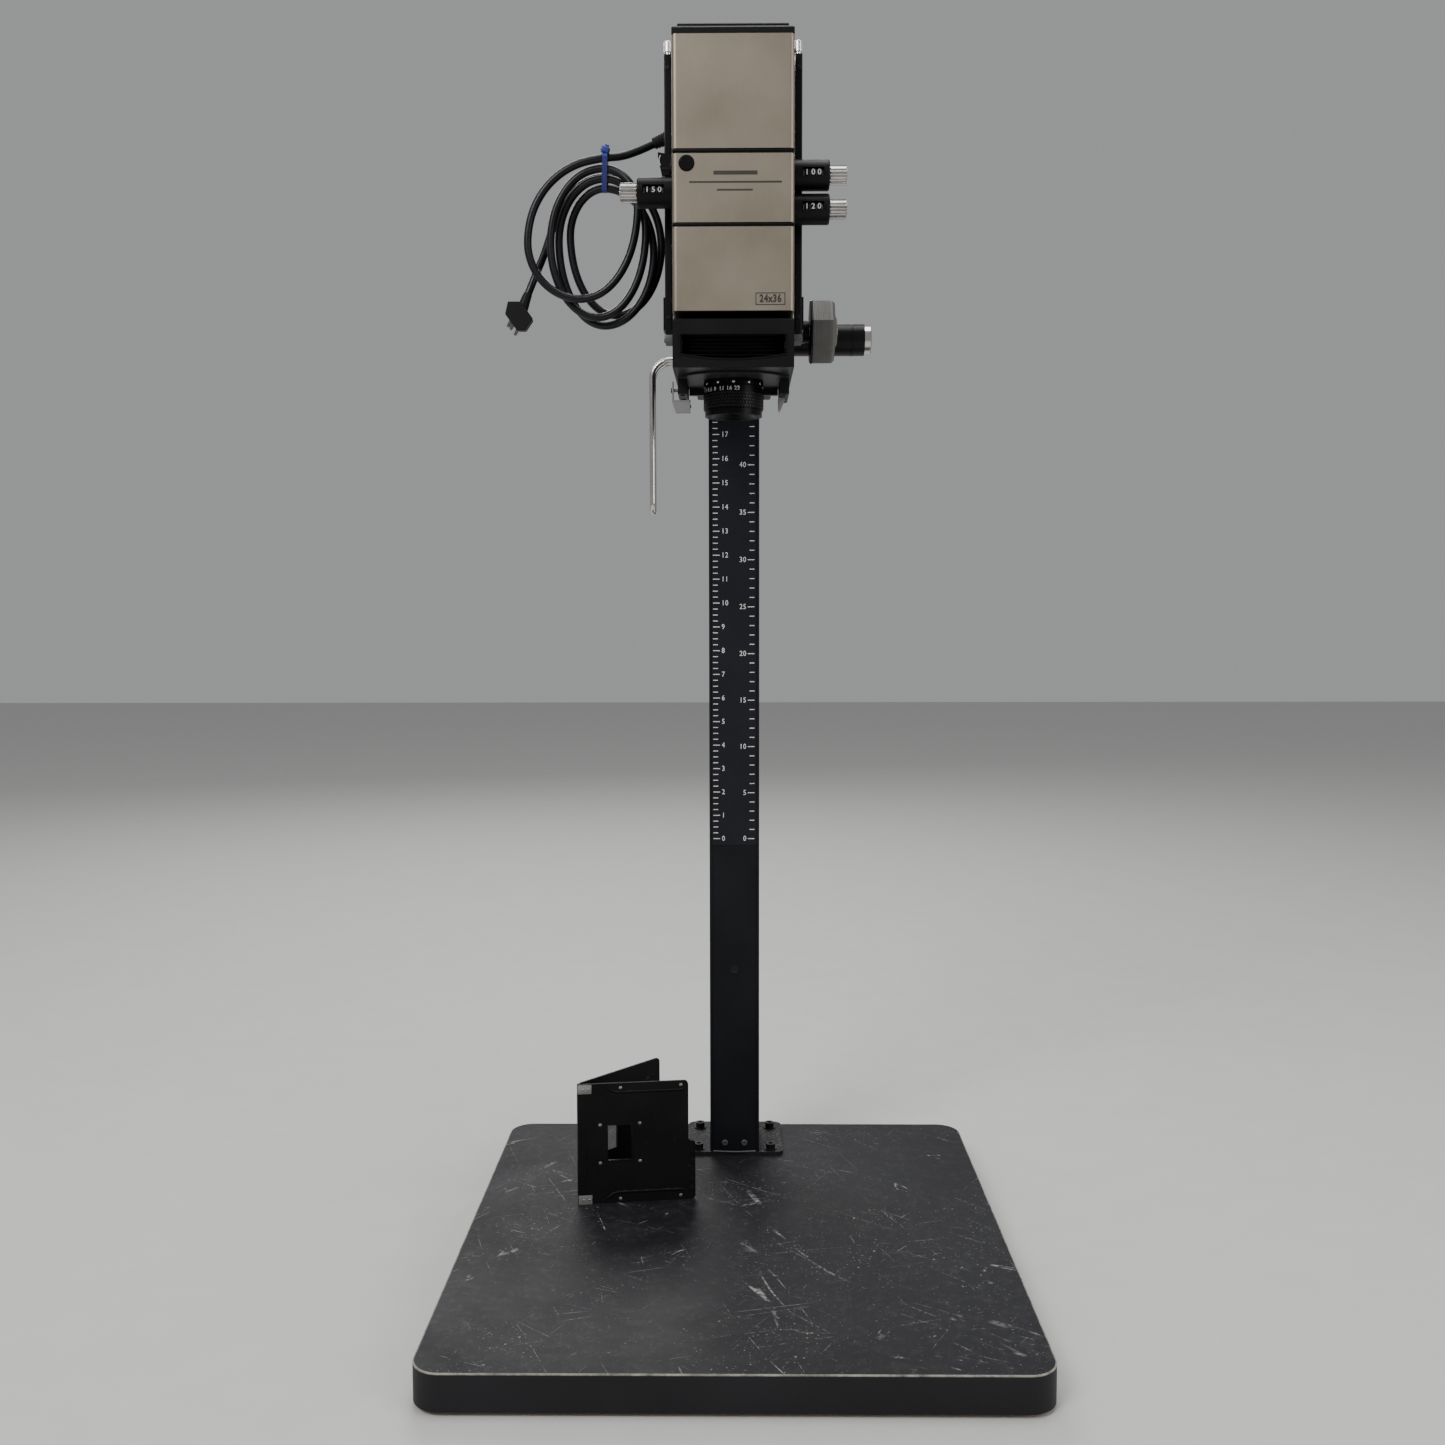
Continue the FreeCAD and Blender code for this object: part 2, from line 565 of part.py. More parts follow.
def board_clamps():
    """Two rails that hold the lens board, and the tab below the right one."""
    rails = mirrored(box(CLAMP_X, CLAMP_Y, (CLAMP_BOTTOM, BOARD_Z)))
    hole = cyl((-CLAMP_X[1] - 1, LATCH_Y, LATCH_Z), X, 1.7, 6.5)
    rails = [r.cut(hole) for r in rails]
    outline = [V(41.6, -10, CLAMP_BOTTOM), V(47.6, -10, CLAMP_BOTTOM), V(43.2, -10, 818.5),
               V(41.9, -10, 818.5)]
    tab = Part.Face(Part.makePolygon(outline + outline[:1])).extrude(V(0, 14, 0))
    return group(rails + [tab])


def lens_barrel():
    """Fixed parts of the lens: mount flange, tube and front ring."""
    tube = cyl((0, AXIS_Y, LENS_BOTTOM), Z, 20.9, BOARD_Z - LENS_BOTTOM)
    flange = cyl((0, AXIS_Y, RING_Z[1] + 0.2), Z, LENS_R, BOARD_Z - RING_Z[1] - 0.2)
    front = cyl((0, AXIS_Y, LENS_BOTTOM), Z, 26.3, RING_Z[0] - 0.2 - LENS_BOTTOM)
    cone = Part.makeCone(22.0, 15.0, 5.0, V(0, AXIS_Y, LENS_BOTTOM), Z)
    bore = cyl((0, AXIS_Y, LENS_BOTTOM - 1), Z, 15.0, 40)
    return union(tube, flange, front).cut(cone).cut(bore)


def lens_glass():
    """Front and rear elements, each a slice of two spheres."""
    elements = []
    for z, bulge in ((820.0, 60.0), (834.0, 45.0)):
        rod = cyl((0, AXIS_Y, z - 5), Z, 14.9, 10)
        lower = Part.makeSphere(bulge, V(0, AXIS_Y, z - 2.6 + bulge))
        upper = Part.makeSphere(bulge, V(0, AXIS_Y, z + 2.6 - bulge))
        elements.append(rod.common(lower).common(upper))
    return group(elements)


def aperture_ring():
    """Turning ring: an engraved band above and a grip with vertical grooves below."""
    grip_top, grooves = 832.4, 48
    grip = cyl((0, AXIS_Y, RING_Z[0]), Z, LENS_R - 0.1, grip_top - RING_Z[0])
    cuts = []
    for i in range(grooves):
        turn = 2 * math.pi * i / grooves
        cuts.append(cyl((LENS_R * math.cos(turn), AXIS_Y + LENS_R * math.sin(turn), RING_Z[0] + 1.5),
                        Z, 0.65, grip_top - RING_Z[0] - 3))
    band = cyl((0, AXIS_Y, grip_top - 0.5), Z, LENS_R - 1.2, RING_Z[1] - grip_top + 0.5)
    ring = union(grip.cut(cuts), band)
    return ring.cut(cyl((0, AXIS_Y, RING_Z[0] - 1), Z, 20.95, 30))


def board_latch():
    """Lever that frees the lens board: pivot pin, strap and thumb pad."""
    pin = cyl((-55.0, LATCH_Y, LATCH_Z), X, 1.6, 8.5)
    wall = box((-56.0, -54.6), (LATCH_Y - 4, LATCH_Y + 4), (823.4, 841.5))
    floor = box((-56.0, -40.0), (LATCH_Y - 4, LATCH_Y + 4), (823.4, 824.8))
    outline = [V(-56.0, LATCH_Y - 5, 823.4), V(-39.5, LATCH_Y - 5, 823.4),
               V(-39.5, LATCH_Y - 5, 814.0), V(-52.8, LATCH_Y - 5, 814.0)]
    pad = Part.Face(Part.makePolygon(outline + outline[:1])).extrude(V(0, 10, 0))
    upright = [e for e in pad.Edges if abs(e.tangentAt(e.FirstParameter).y) > 0.99
               and e.BoundBox.ZMax < 815]
    return group([union(pin, wall, floor), pad.makeFillet(1.0, upright)])


# ---------------------------------------------------------------- lift lever
def lift_hub():
    """Disc that turns in the left cheek, with the eccentric that raises the lamphouse."""
    disc = cyl((-CHEEK_X[1] - 2, LEVER_Y, LEVER_Z), X, HUB_R, 8.2)
    cam = cyl((-CHEEK_X[0] + 0.1, LEVER_Y - CAM_THROW, LEVER_Z), X, CAM_R, 6.0)
    return union(disc, cam)


def lift_bail():
    """Bent rod with two parallel legs joined by a round bend at the bottom."""
    def leg(y):
        start = V(-CHEEK_X[1] - 2, y, LEVER_Z)
        turn_in = V(BAIL_X + BAIL_BEND_R, y, LEVER_Z)
        corner = math.sqrt(0.5) * BAIL_BEND_R
        middle = V(BAIL_X + BAIL_BEND_R - corner, y, LEVER_Z - BAIL_BEND_R + corner)
        turn_out = V(BAIL_X, y, LEVER_Z - BAIL_BEND_R)
        end = V(BAIL_X, y, BAIL_BOTTOM + BAIL_HALF_Y)
        return start, turn_in, middle, turn_out, end

    a, b = leg(LEVER_Y - BAIL_HALF_Y), leg(LEVER_Y + BAIL_HALF_Y)
    line = lambda p, q: Part.LineSegment(p, q).toShape()
    path = Part.Wire([line(a[0], a[1]), Part.Arc(a[1], a[2], a[3]).toShape(), line(a[3], a[4]),
                      Part.Arc(a[4], V(BAIL_X, LEVER_Y, BAIL_BOTTOM), b[4]).toShape(),
                      line(b[4], b[3]), Part.Arc(b[3], b[2], b[1]).toShape(), line(b[1], b[0])])
    ring = Part.Wire(Part.makeCircle(BAIL_R, a[0], X))
    return path.makePipeShell([ring], True, False)


# ---------------------------------------------------------------- lamphouse
def module_cover(z, holes=()):
    """Sheet cover that wraps the front and both sides of one module."""
    def wrap(inset, z0, height):
        half = HEAD_HALF_X - inset
        solid = box((-half, half), (HEAD_FRONT_Y + inset, COVER_REAR_Y), (z0, z0 + height))
        corners = [e for e in solid.Edges if abs(e.tangentAt(e.FirstParameter).z) > 0.99
                   and e.BoundBox.YMax < HEAD_FRONT_Y + inset + 0.01]
        return solid.makeFillet(COVER_CORNER_R - inset, corners)
    height = z[1] - z[0]
    cover = wrap(0.0, z[0], height).cut(wrap(COVER_T, z[0] - 1, height + 2))
    rear_trim = box((-60, 60), (COVER_REAR_Y - 0.01, COVER_REAR_Y + 1), (z[0] - 1, z[1] + 1))
    return cover.cut(rear_trim).cut(group(list(holes))) if holes else cover.cut(rear_trim)


def control_holes(radius):
    """Holes for the three control shafts, through both side walls of the lamphouse."""
    return [cyl((side * 40, CONTROL_Y, z), V(side, 0, 0), radius, 20) for side, z, _ in CONTROLS.values()]


def button_hole(radius):
    return cyl((-40.3, HEAD_FRONT_Y - 1, 1018.2), Y, radius, 9)


def lever_hole(radius):
    return cyl((-60, CONTROL_Y, 1023.5), X, radius, 20)


def lamphouse_body():
    """Black inner case: three chambers one above the other, open to each other on the axis."""
    skin = COVER_T + 0.1
    case = box((-HEAD_HALF_X + skin, HEAD_HALF_X - skin), (HEAD_FRONT_Y + skin, LAMP_REAR_Y),
               (LAMP_BOTTOM, BODY_TOP))
    rear = box((-HEAD_HALF_X, HEAD_HALF_X), (COVER_REAR_Y + 0.4, LAMP_REAR_Y), (LAMP_BOTTOM, BODY_TOP))
    front_corners = [e for e in case.Edges if abs(e.tangentAt(e.FirstParameter).z) > 0.99
                     and e.BoundBox.YMax < HEAD_FRONT_Y + skin + 0.01]
    case = union(case.makeFillet(COVER_CORNER_R - COVER_T + 0.2, front_corners), rear)
    half, y = 48.5, (HEAD_FRONT_Y + 4.0, LAMP_REAR_Y - 3.0)
    for z in ((897.0, 966.0), (970.0, 1028.0), (1032.0, BODY_TOP - 0.0)):
        case = case.cut(box((-half, half), y, (z[0], z[1] + (5 if z[1] == BODY_TOP else 0))))
    case = case.cut(box((-23, 23), (AXIS_Y - 23, AXIS_Y + 23), (LAMP_BOTTOM - 1, 1040.0)))
    slots = []
    for row in range(12):
        slots.append(box((-34, 34), (LAMP_REAR_Y - 6, LAMP_REAR_Y + 1), (1044.0 + 6 * row, 1047.0 + 6 * row)))
    case = case.cut(slots)
    lug = (LEVER_Z + CAM_R + 0.15, LEVER_Z + CAM_R + 5.0)
    bracket = union(box((-46, -38.5), (LAMP_REAR_Y, LAMP_REAR_Y + 4.0), (LAMP_BOTTOM, 930.0)),
                    box((-46, -38.5), (CHEEK_FRONT_Y + 0.6, LAMP_REAR_Y + 4.0), (lug[0], LAMP_BOTTOM)),
                    box((-46, -38.5), (CHEEK_FRONT_Y + 0.6, 69.5), lug))
    cord_hole = cyl((-60, CORD_EXIT[1], CORD_EXIT[2]), X, CORD_R + 0.9, 12)
    case = union(case, bracket)
    return case.cut(control_holes(SHAFT_R + 0.2) + [button_hole(7.2), lever_hole(2.7), cord_hole])


def top_cap():
    """Stepped cap with chamfered rims and a row of vent slots."""
    lower = box((-52.9, 52.9), (HEAD_FRONT_Y + 0.8, LAMP_REAR_Y), (BODY_TOP, CAP_STEP_Z))
    rim = [e for e in lower.Edges if e.BoundBox.ZMin > CAP_STEP_Z - 0.01]
    lower = lower.makeChamfer(1.6, rim)
    upper = box((-48.0, 48.0), (HEAD_FRONT_Y + 4, LAMP_REAR_Y - 6), (CAP_STEP_Z - 1, CAP_TOP))
    rim = [e for e in upper.Edges if e.BoundBox.ZMin > CAP_TOP - 0.01]
    upper = upper.makeChamfer(1.0, rim)
    slots = [box((-34, 34), (-60.0 + 9 * i, -57.0 + 9 * i), (BODY_TOP + 3, CAP_TOP + 1)) for i in range(9)]
    return union(lower, upper).cut(slots)


def filter_housings():
    """Round counter housings beside the lamphouse, each with a window in front for its drums."""
    housings = []
    for side, z, _ in CONTROLS.values():
        shell = cyl((HEAD_HALF_X + 0.1, CONTROL_Y, z), X, HOUSING_R, HOUSING_X - HEAD_HALF_X - 0.1)
        end = [e for e in shell.Edges if e.BoundBox.XMin > HOUSING_X - 0.01]
        shell = shell.makeFillet(1.6, end)
        shell = shell.cut(cyl((HEAD_HALF_X + 2, CONTROL_Y, z), X, HOUSING_BORE_R, HOUSING_X - HEAD_HALF_X - 4))
        shell = shell.cut(box((61.0, 80.0), (CONTROL_Y - HOUSING_R - 1, CONTROL_Y - 8), (z - 3.8, z + 3.8)))
        shell = shell.cut(cyl((HEAD_HALF_X - 1, CONTROL_Y, z), X, SHAFT_R + 0.2, 40))
        housings.append(shell if side > 0 else shell.mirror(V(0, 0, 0), X))
    return group(housings)


def dial_knob(name):
    """Fluted knob on the lead screw of one filter."""
    side, z, _ = CONTROLS[name]
    knob = cyl((DIAL_X[0], CONTROL_Y, z), X, DIAL_R, DIAL_X[1] - DIAL_X[0])
    rim = [e for e in knob.Edges if e.Curve.TypeId == "Part::GeomCircle"]
    knob = knob.makeChamfer(0.6, rim)
    flutes = 12
    cuts = []
    for i in range(flutes):
        turn = 2 * math.pi * (i + 0.5) / flutes
        cuts.append(cyl((DIAL_X[0] - 1, CONTROL_Y + 9.6 * math.cos(turn), z + 9.6 * math.sin(turn)),
                        X, 1.8, DIAL_X[1] - DIAL_X[0] + 2))
    drums = cyl((62.0, CONTROL_Y, z), X, 10.0, 17.0)
    screw = cyl((4.0, CONTROL_Y, z), X, SHAFT_R, DIAL_X[0] - 3.0)
    solid = union(knob.cut(cuts), drums, screw)
    return solid if side > 0 else solid.mirror(V(0, 0, 0), X)


def filter_blade(name):
    """Glass filter with its nut on the lead screw, as far in as the units dialled."""
    side, z, units = CONTROLS[name]
    outer = FILTER_OUT_X - units * UNIT_TRAVEL
    pane = box((outer - FILTER_WIDTH, outer), (CONTROL_Y + 5.5, 30.0), (z - 0.8, z + 0.8))
    nut = box((outer - 8, outer), (CONTROL_Y - 6, CONTROL_Y + 6), (z - 6, z + 6))
    nut = nut.cut(cyl((0, CONTROL_Y, z), X, SHAFT_R + 0.06, 60))
    solid = union(pane, nut)
    return solid if side > 0 else solid.mirror(V(0, 0, 0), X)


def white_light_lever():
    """Lever above the left housing that swings the filters out of the light."""
    y, z = CONTROL_Y, 1023.5
    pivot = cyl((-63.5, y, z), X, 2.5, 17.0)
    hub = cyl((-56.4, y, z), X, 5.0, 2.6)
    outline = [V(-63.4, y - 2, z - 5.0), V(-55.0, y - 2, z - 5.0), V(-55.0, y - 2, 1036.5),
               V(-66.8, y - 2, 1038.5), V(-66.8, y - 2, 1034.0)]
    paddle = Part.Face(Part.makePolygon(outline + outline[:1])).extrude(V(0, 4, 0))
    return union(paddle, hub, pivot)


def module_button():
    head = cyl((-40.3, HEAD_FRONT_Y - 1.4, 1018.2), Y, 6.15, 6.0)
    rim = [e for e in head.Edges if e.BoundBox.YMax < HEAD_FRONT_Y - 1.3 and e.Length > 1]
    return head.makeFillet(0.7, rim[:1])


def lamp():
    """Halogen lamp: reflector, capsule and base, and the socket bracket behind it."""
    z = 1050.0
    outer = Part.makeCone(25.0, 9.0, 30.0, V(0, AXIS_Y, z), Z)
    inner = Part.makeCone(23.5, 7.0, 29.0, V(0, AXIS_Y, z - 0.5), Z)
    base = cyl((0, AXIS_Y, z + 29.0), Z, 9.0, 12.0)
    socket = box((-14, 14), (AXIS_Y - 10, LAMP_REAR_Y - 3.0), (z + 41.2, z + 55.0))
    capsule = cyl((0, AXIS_Y, z + 8), Z, 5.0, 21.5)
    return group([union(outer.cut(inner), base, capsule), socket])


def heat_glass():
    """Heat-absorbing glass in the floor of the lamp chamber."""
    return box((-26, 26), (AXIS_Y - 26, AXIS_Y + 26), (1032.1, 1035.1))


def mixing_chamber():
    """White box with an opal diffuser at its foot."""
    outer = box((-30, 30), (AXIS_Y - 30, AXIS_Y + 30), (897.2, 965.8))
    inner = box((-26, 26), (AXIS_Y - 26, AXIS_Y + 26), (900.2, 967.0))
    return outer.cut(inner)


# ---------------------------------------------------------------- mains cord
def strain_relief():
    """Tapered sleeve round the cord where it leaves the lamphouse."""
    start, second = V(*LEAD_ROUTE[0]), V(*LEAD_ROUTE[1])
    out = second - start
    out.normalize()
    sleeve = Part.makeCone(7.4, 5.2, 24.0, start - out * 3.0, out)
    sleeve = sleeve.cut(box((-HEAD_HALF_X - 0.1, 0), (-20, 60), (1040, 1110)))
    return sleeve.cut(cord_tube("bore of the relief", LEAD_ROUTE[:3]))


def ellipse_prism(centre, half, tilt, y):
    ellipse = Part.Ellipse(V(0, 0, 0), half[1], half[0])
    face = Part.Face(Part.Wire(ellipse.toShape()))
    face.rotate(V(0, 0, 0), Z, 90 + tilt)
    face.rotate(V(0, 0, 0), X, 90)
    face.translate(V(centre[0], y[1], centre[1]))
    return face.extrude(V(0, y[0] - y[1], 0))


def cord_coil():
    """Outer shape of the loose, tied coil."""
    ring = ellipse_prism(COIL_CENTRE, COIL_HALF, COIL_TILT, COIL_Y)
    return ring.cut(ellipse_prism(COIL_HOLE_CENTRE, COIL_HOLE_HALF, COIL_TILT, (COIL_Y[0] - 1, COIL_Y[1] + 1)))


def cord_tie(coil):
    """Strap round the top of the coil, and its ratchet head."""
    x, half = TIE_X, 2.3
    strap = box((x - half, x + half), (COIL_Y[0] - 1.2, COIL_Y[1] + 1.2), (1021.0, 1056.0))
    corners = [e for e in strap.Edges if e.BoundBox.XLength > 4 and e.BoundBox.YLength < 0.1
               and e.BoundBox.ZLength < 0.1]
    strap = strap.makeFillet(6.0, corners)
    hollow = box((x - half - 1, x + half + 1), (COIL_Y[0], COIL_Y[1]), (1022.2, 1054.8))
    head = box((x - 4, x + 3.5), (COIL_Y[0] - 2, COIL_Y[0] + 5), (1056.0, 1061.0))
    return union(strap.cut(hollow), head).cut(coil)


def plug():
    """Angled mains plug: the cord enters above, and three pins leave its lower left side."""
    middle = [sum(p[i] for p in PLUG_OUTLINE) / len(PLUG_OUTLINE) for i in (0, 1)]
    wires = []
    for y, scale in ((PLUG_Y[0], 1.0), (PLUG_Y[1], PLUG_BACK_SCALE)):
        ring = [V(middle[0] + (a - middle[0]) * scale, y, middle[1] + (b - middle[1]) * scale)
                for a, b in PLUG_OUTLINE]
        wires.append(Part.makePolygon(ring + ring[:1]))
    body = Part.makeLoft(wires, True, True)
    body = body.makeFillet(1.2, body.Edges)
    return union(body, *[cyl(start, V(*PIN_OUT), PIN_R, PIN_LENGTH) for start in PIN_STARTS])


# ---------------------------------------------------------------- negative carrier
def leaf(low, width, tab):
    """One leaf in its own frame: hinge edge at x = 0, back face at y = 0."""
    plate = box((0, width), (-LEAF_T, 0), (low, low + LEAF_H))
    if tab:
        plate = union(plate, box((width - 1, width + 7), (-LEAF_T, 0), (low, TAB_TOP)))
    corners = [e for e in plate.Edges if abs(e.tangentAt(e.FirstParameter).y) > 0.99
               and e.BoundBox.XMin > width - 0.5]
    plate = plate.makeFillet(4.5, [e for e in corners if abs(e.BoundBox.ZMin - TAB_TOP) > 1])
    if tab:
        step = [e for e in plate.Edges if abs(e.tangentAt(e.FirstParameter).y) > 0.99
                and abs(e.BoundBox.ZMin - TAB_TOP) < 0.01 and e.BoundBox.XMin > width - 0.5]
        plate = plate.makeFillet(3.0, step)
    window = box((WINDOW_FROM_HINGE - WINDOW[0] / 2, WINDOW_FROM_HINGE + WINDOW[0] / 2),
                 (-LEAF_T - 1, 1), (WINDOW_Z - WINDOW[1] / 2, WINDOW_Z + WINDOW[1] / 2))
    return plate.cut(window)


def in_place(shape, turn_deg):
    shape.rotate(V(0, 0, 0), Z, turn_deg)
    shape.translate(V(LEAF_HINGE[0], LEAF_HINGE[1], 0))
    return shape


def carrier_front():
    """Front leaf with its handle tab and the pin that both leaves turn on."""
    front = leaf(BOARD_TOP, LEAF_W, True)
    pin = cyl((0, 0, BOARD_TOP), Z, 1.2, LEAF_H)
    clear = cyl((0, 0, BOARD_TOP - 1), Z, 3.4, LEAF_H + 2)
    knuckles = []
    for low in (BOARD_TOP, BOARD_TOP + LEAF_H - 10):
        knuckle = cyl((0, 0, low), Z, 2.2, 10)
        strap = box((-0.5, 12.0), (-LEAF_T - 0.8, -LEAF_T), (low, low + 10))
        link = box((-2.2, 0.0), (-LEAF_T - 0.8, -0.2), (low, low + 10))
        knuckles.append(union(knuckle, strap, link))
    return in_place(union(front.cut(clear), pin, *knuckles), LEAF_ANGLE)


def carrier_rear():
    """Rear leaf, opened away from the front one."""
    rear = leaf(BOARD_TOP + 0.3, REAR_LEAF_W, False)
    rear.translate(V(0, LEAF_T + 0.3, 0))
    clear = cyl((0, 0, BOARD_TOP - 1), Z, 3.4, LEAF_H + 2)
    barrel = cyl((0, 0, BOARD_TOP + 10.3), Z, 2.2, LEAF_H - 20.6)
    web = box((0.0, 4.5), (0.3, 2.2), (BOARD_TOP + 10.3, BOARD_TOP + LEAF_H - 10.3))
    bore = cyl((0, 0, BOARD_TOP), Z, 1.25, LEAF_H)
    solid = union(rear.cut(clear), barrel, web).cut(bore)
    return in_place(solid, LEAF_ANGLE + LEAF_OPEN)


# ---------------------------------------------------------------- write every sub-part
save("baseboard_core", board_core().cut(bolt_holes()))
save("baseboard_laminate", board_laminate())
save("rubber_feet", rubber_feet())
save("column_foot", column_foot())
save("foot_bolts", foot_bolts())
save("column", column())
save("column_scales", column_scales())
save("column_cap", column_cap())
save("counterbalance_spring", counterbalance_spring())

save("carriage_sleeve", carriage_sleeve())
save("glide_pads", glide_pads())
save("head_frame", head_frame())
save("focus_bridge", focus_bridge())
save("negative_stage", negative_stage())
save("bellows_cover", bellows_cover())
save("bellows", bellows())
save("guide_posts", guide_posts())
save("handle_grip", handle_grip())
save("release_button", release_button())
save("thumb_screw_left", thumb_screw(-1))
save("thumb_screw_right", thumb_screw(1))

save("focus_knob", focus_knob())
save("focus_shaft", focus_shaft())
save("focus_rack", focus_rack())
save("lens_stage_plate", lens_stage_plate())
save("lens_board", lens_board())
save("board_clamps", board_clamps())
save("lens_barrel", lens_barrel())
save("lens_glass", lens_glass())
save("aperture_ring", aperture_ring())
save("board_latch", board_latch())
save("lift_hub", lift_hub())
save("lift_bail", lift_bail())

save("lamphouse_body", lamphouse_body())
save("top_cap", top_cap())
save("upper_cover", module_cover(MODULE_Z[0]))
save("filter_cover", module_cover(MODULE_Z[1], control_holes(SHAFT_R + 0.2)
                                  + [button_hole(6.5), lever_hole(2.7)]))
save("chamber_cover", module_cover(MODULE_Z[2]))
save("filter_housings", filter_housings())
for control in CONTROLS:
    save(f"dial_knob_{control}", dial_knob(control))
    save(f"filter_blade_{control}", filter_blade(control))
save("white_light_lever", white_light_lever())
save("module_button", module_button())
save("lamp", lamp())
save("heat_glass", heat_glass())
save("mixing_chamber", mixing_chamber())

coil_solid = cord_coil()
tie_solid = cord_tie(coil_solid)
save("strain_relief", strain_relief())
save("cord_lead", cord_tube("cord_lead", LEAD_ROUTE).cut(coil_solid))
save("cord_coil", coil_solid)
save("cord_tail", cord_tube("cord_tail", TAIL_ROUTE).cut(coil_solid))
save("cord_tie", tie_solid)
save("plug", plug())

save("carrier_front", carrier_front())
save("carrier_rear", carrier_rear())
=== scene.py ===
"""Photo enlarger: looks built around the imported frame.  Metres; the front faces -Y."""
import bpy
import bmesh
import json
import math
from mathutils import Matrix, Vector


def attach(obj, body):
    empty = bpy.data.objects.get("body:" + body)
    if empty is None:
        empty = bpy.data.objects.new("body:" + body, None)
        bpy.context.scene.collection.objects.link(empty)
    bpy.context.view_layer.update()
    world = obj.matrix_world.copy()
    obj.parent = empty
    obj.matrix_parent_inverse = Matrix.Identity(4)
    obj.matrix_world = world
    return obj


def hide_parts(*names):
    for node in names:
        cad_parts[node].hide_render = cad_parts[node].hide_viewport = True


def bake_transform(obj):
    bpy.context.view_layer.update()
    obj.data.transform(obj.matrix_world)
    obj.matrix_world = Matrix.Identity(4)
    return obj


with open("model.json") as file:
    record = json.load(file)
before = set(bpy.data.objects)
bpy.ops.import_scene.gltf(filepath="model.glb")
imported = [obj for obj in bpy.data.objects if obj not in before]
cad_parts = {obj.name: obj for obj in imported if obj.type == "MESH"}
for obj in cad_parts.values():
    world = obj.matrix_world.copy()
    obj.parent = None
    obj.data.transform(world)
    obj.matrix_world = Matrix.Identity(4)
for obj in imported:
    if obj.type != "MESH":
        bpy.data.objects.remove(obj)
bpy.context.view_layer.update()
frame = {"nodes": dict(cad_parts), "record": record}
MM = 0.001


# ---------------------------------------------------------------- camera
def place_camera():
    yaw, pitch, roll = -0.0100, 0.0786, -0.0017
    forward = Vector((math.sin(yaw) * math.cos(pitch), math.cos(yaw) * math.cos(pitch), -math.sin(pitch)))
    right = Vector((math.cos(yaw), -math.sin(yaw), 0))
    up = right.cross(forward)
    level = right * math.cos(roll) + up * math.sin(roll)
    rise = up * math.cos(roll) - right * math.sin(roll)
    data = bpy.data.cameras.new("camera")
    data.lens = 35.13
    data.sensor_width = 36.0
    camera = bpy.data.objects.new("camera", data)
    bpy.context.collection.objects.link(camera)
    turn = Matrix((level, rise, -forward)).transposed().to_4x4()
    camera.matrix_world = Matrix.Translation((0.0025, -1.3342, 0.6328)) @ turn
    bpy.context.scene.camera = camera


place_camera()


# ---------------------------------------------------------------- materials
def node_material(name):
    mat = bpy.data.materials.new(name)
    mat.use_nodes = True
    tree = mat.node_tree
    return mat, tree, tree.nodes["Principled BSDF"]


def tex_vector(tree, stretch=(1, 1, 1)):
    coord = tree.nodes.new("ShaderNodeTexCoord")
    mapping = tree.nodes.new("ShaderNodeMapping")
    mapping.inputs["Scale"].default_value = stretch
    tree.links.new(coord.outputs["Object"], mapping.inputs["Vector"])
    return mapping.outputs["Vector"]


def noise(tree, vector, scale, detail=4.0, rough=0.55):
    n = tree.nodes.new("ShaderNodeTexNoise")
    n.inputs["Scale"].default_value = scale
    n.inputs["Detail"].default_value = detail
    n.inputs["Roughness"].default_value = rough
    tree.links.new(vector, n.inputs["Vector"])
    return n.outputs["Fac"]


def ramp(tree, value, low, high, a=0.0, b=1.0):
    m = tree.nodes.new("ShaderNodeMapRange")
    for key, number in (("From Min", low), ("From Max", high), ("To Min", a), ("To Max", b)):
        m.inputs[key].default_value = number
    tree.links.new(value, m.inputs["Value"])
    return m.outputs["Result"]


def math_node(tree, kind, a, b=None):
    m = tree.nodes.new("ShaderNodeMath")
    m.operation = kind
    for socket, value in zip(m.inputs, (a, b)):
        if value is None:
            continue
        if isinstance(value, (int, float)):
            socket.default_value = value
        else:
            tree.links.new(value, socket)
    return m.outputs[0]


def mix_colour(tree, factor, a, b):
    m = tree.nodes.new("ShaderNodeMix")
    m.data_type = "RGBA"
    tree.links.new(factor, m.inputs["Factor"])
    for socket, value in ((m.inputs["A"], a), (m.inputs["B"], b)):
        if isinstance(value, tuple):
            socket.default_value = (*value, 1.0)
        else:
            tree.links.new(value, socket)
    return m.outputs["Result"]


def bump(tree, shader, height, strength, distance=0.0005):
    b = tree.nodes.new("ShaderNodeBump")
    b.inputs["Strength"].default_value = strength
    b.inputs["Distance"].default_value = distance
    tree.links.new(height, b.inputs["Height"])
    tree.links.new(b.outputs["Normal"], shader.inputs["Normal"])


SCUFF_COLOUR = (0.35, 0.34, 0.32)
DUST_COLOUR = (0.45, 0.44, 0.42)
DARK_SPECULAR = 0.12
GLASS_IOR = 1.52


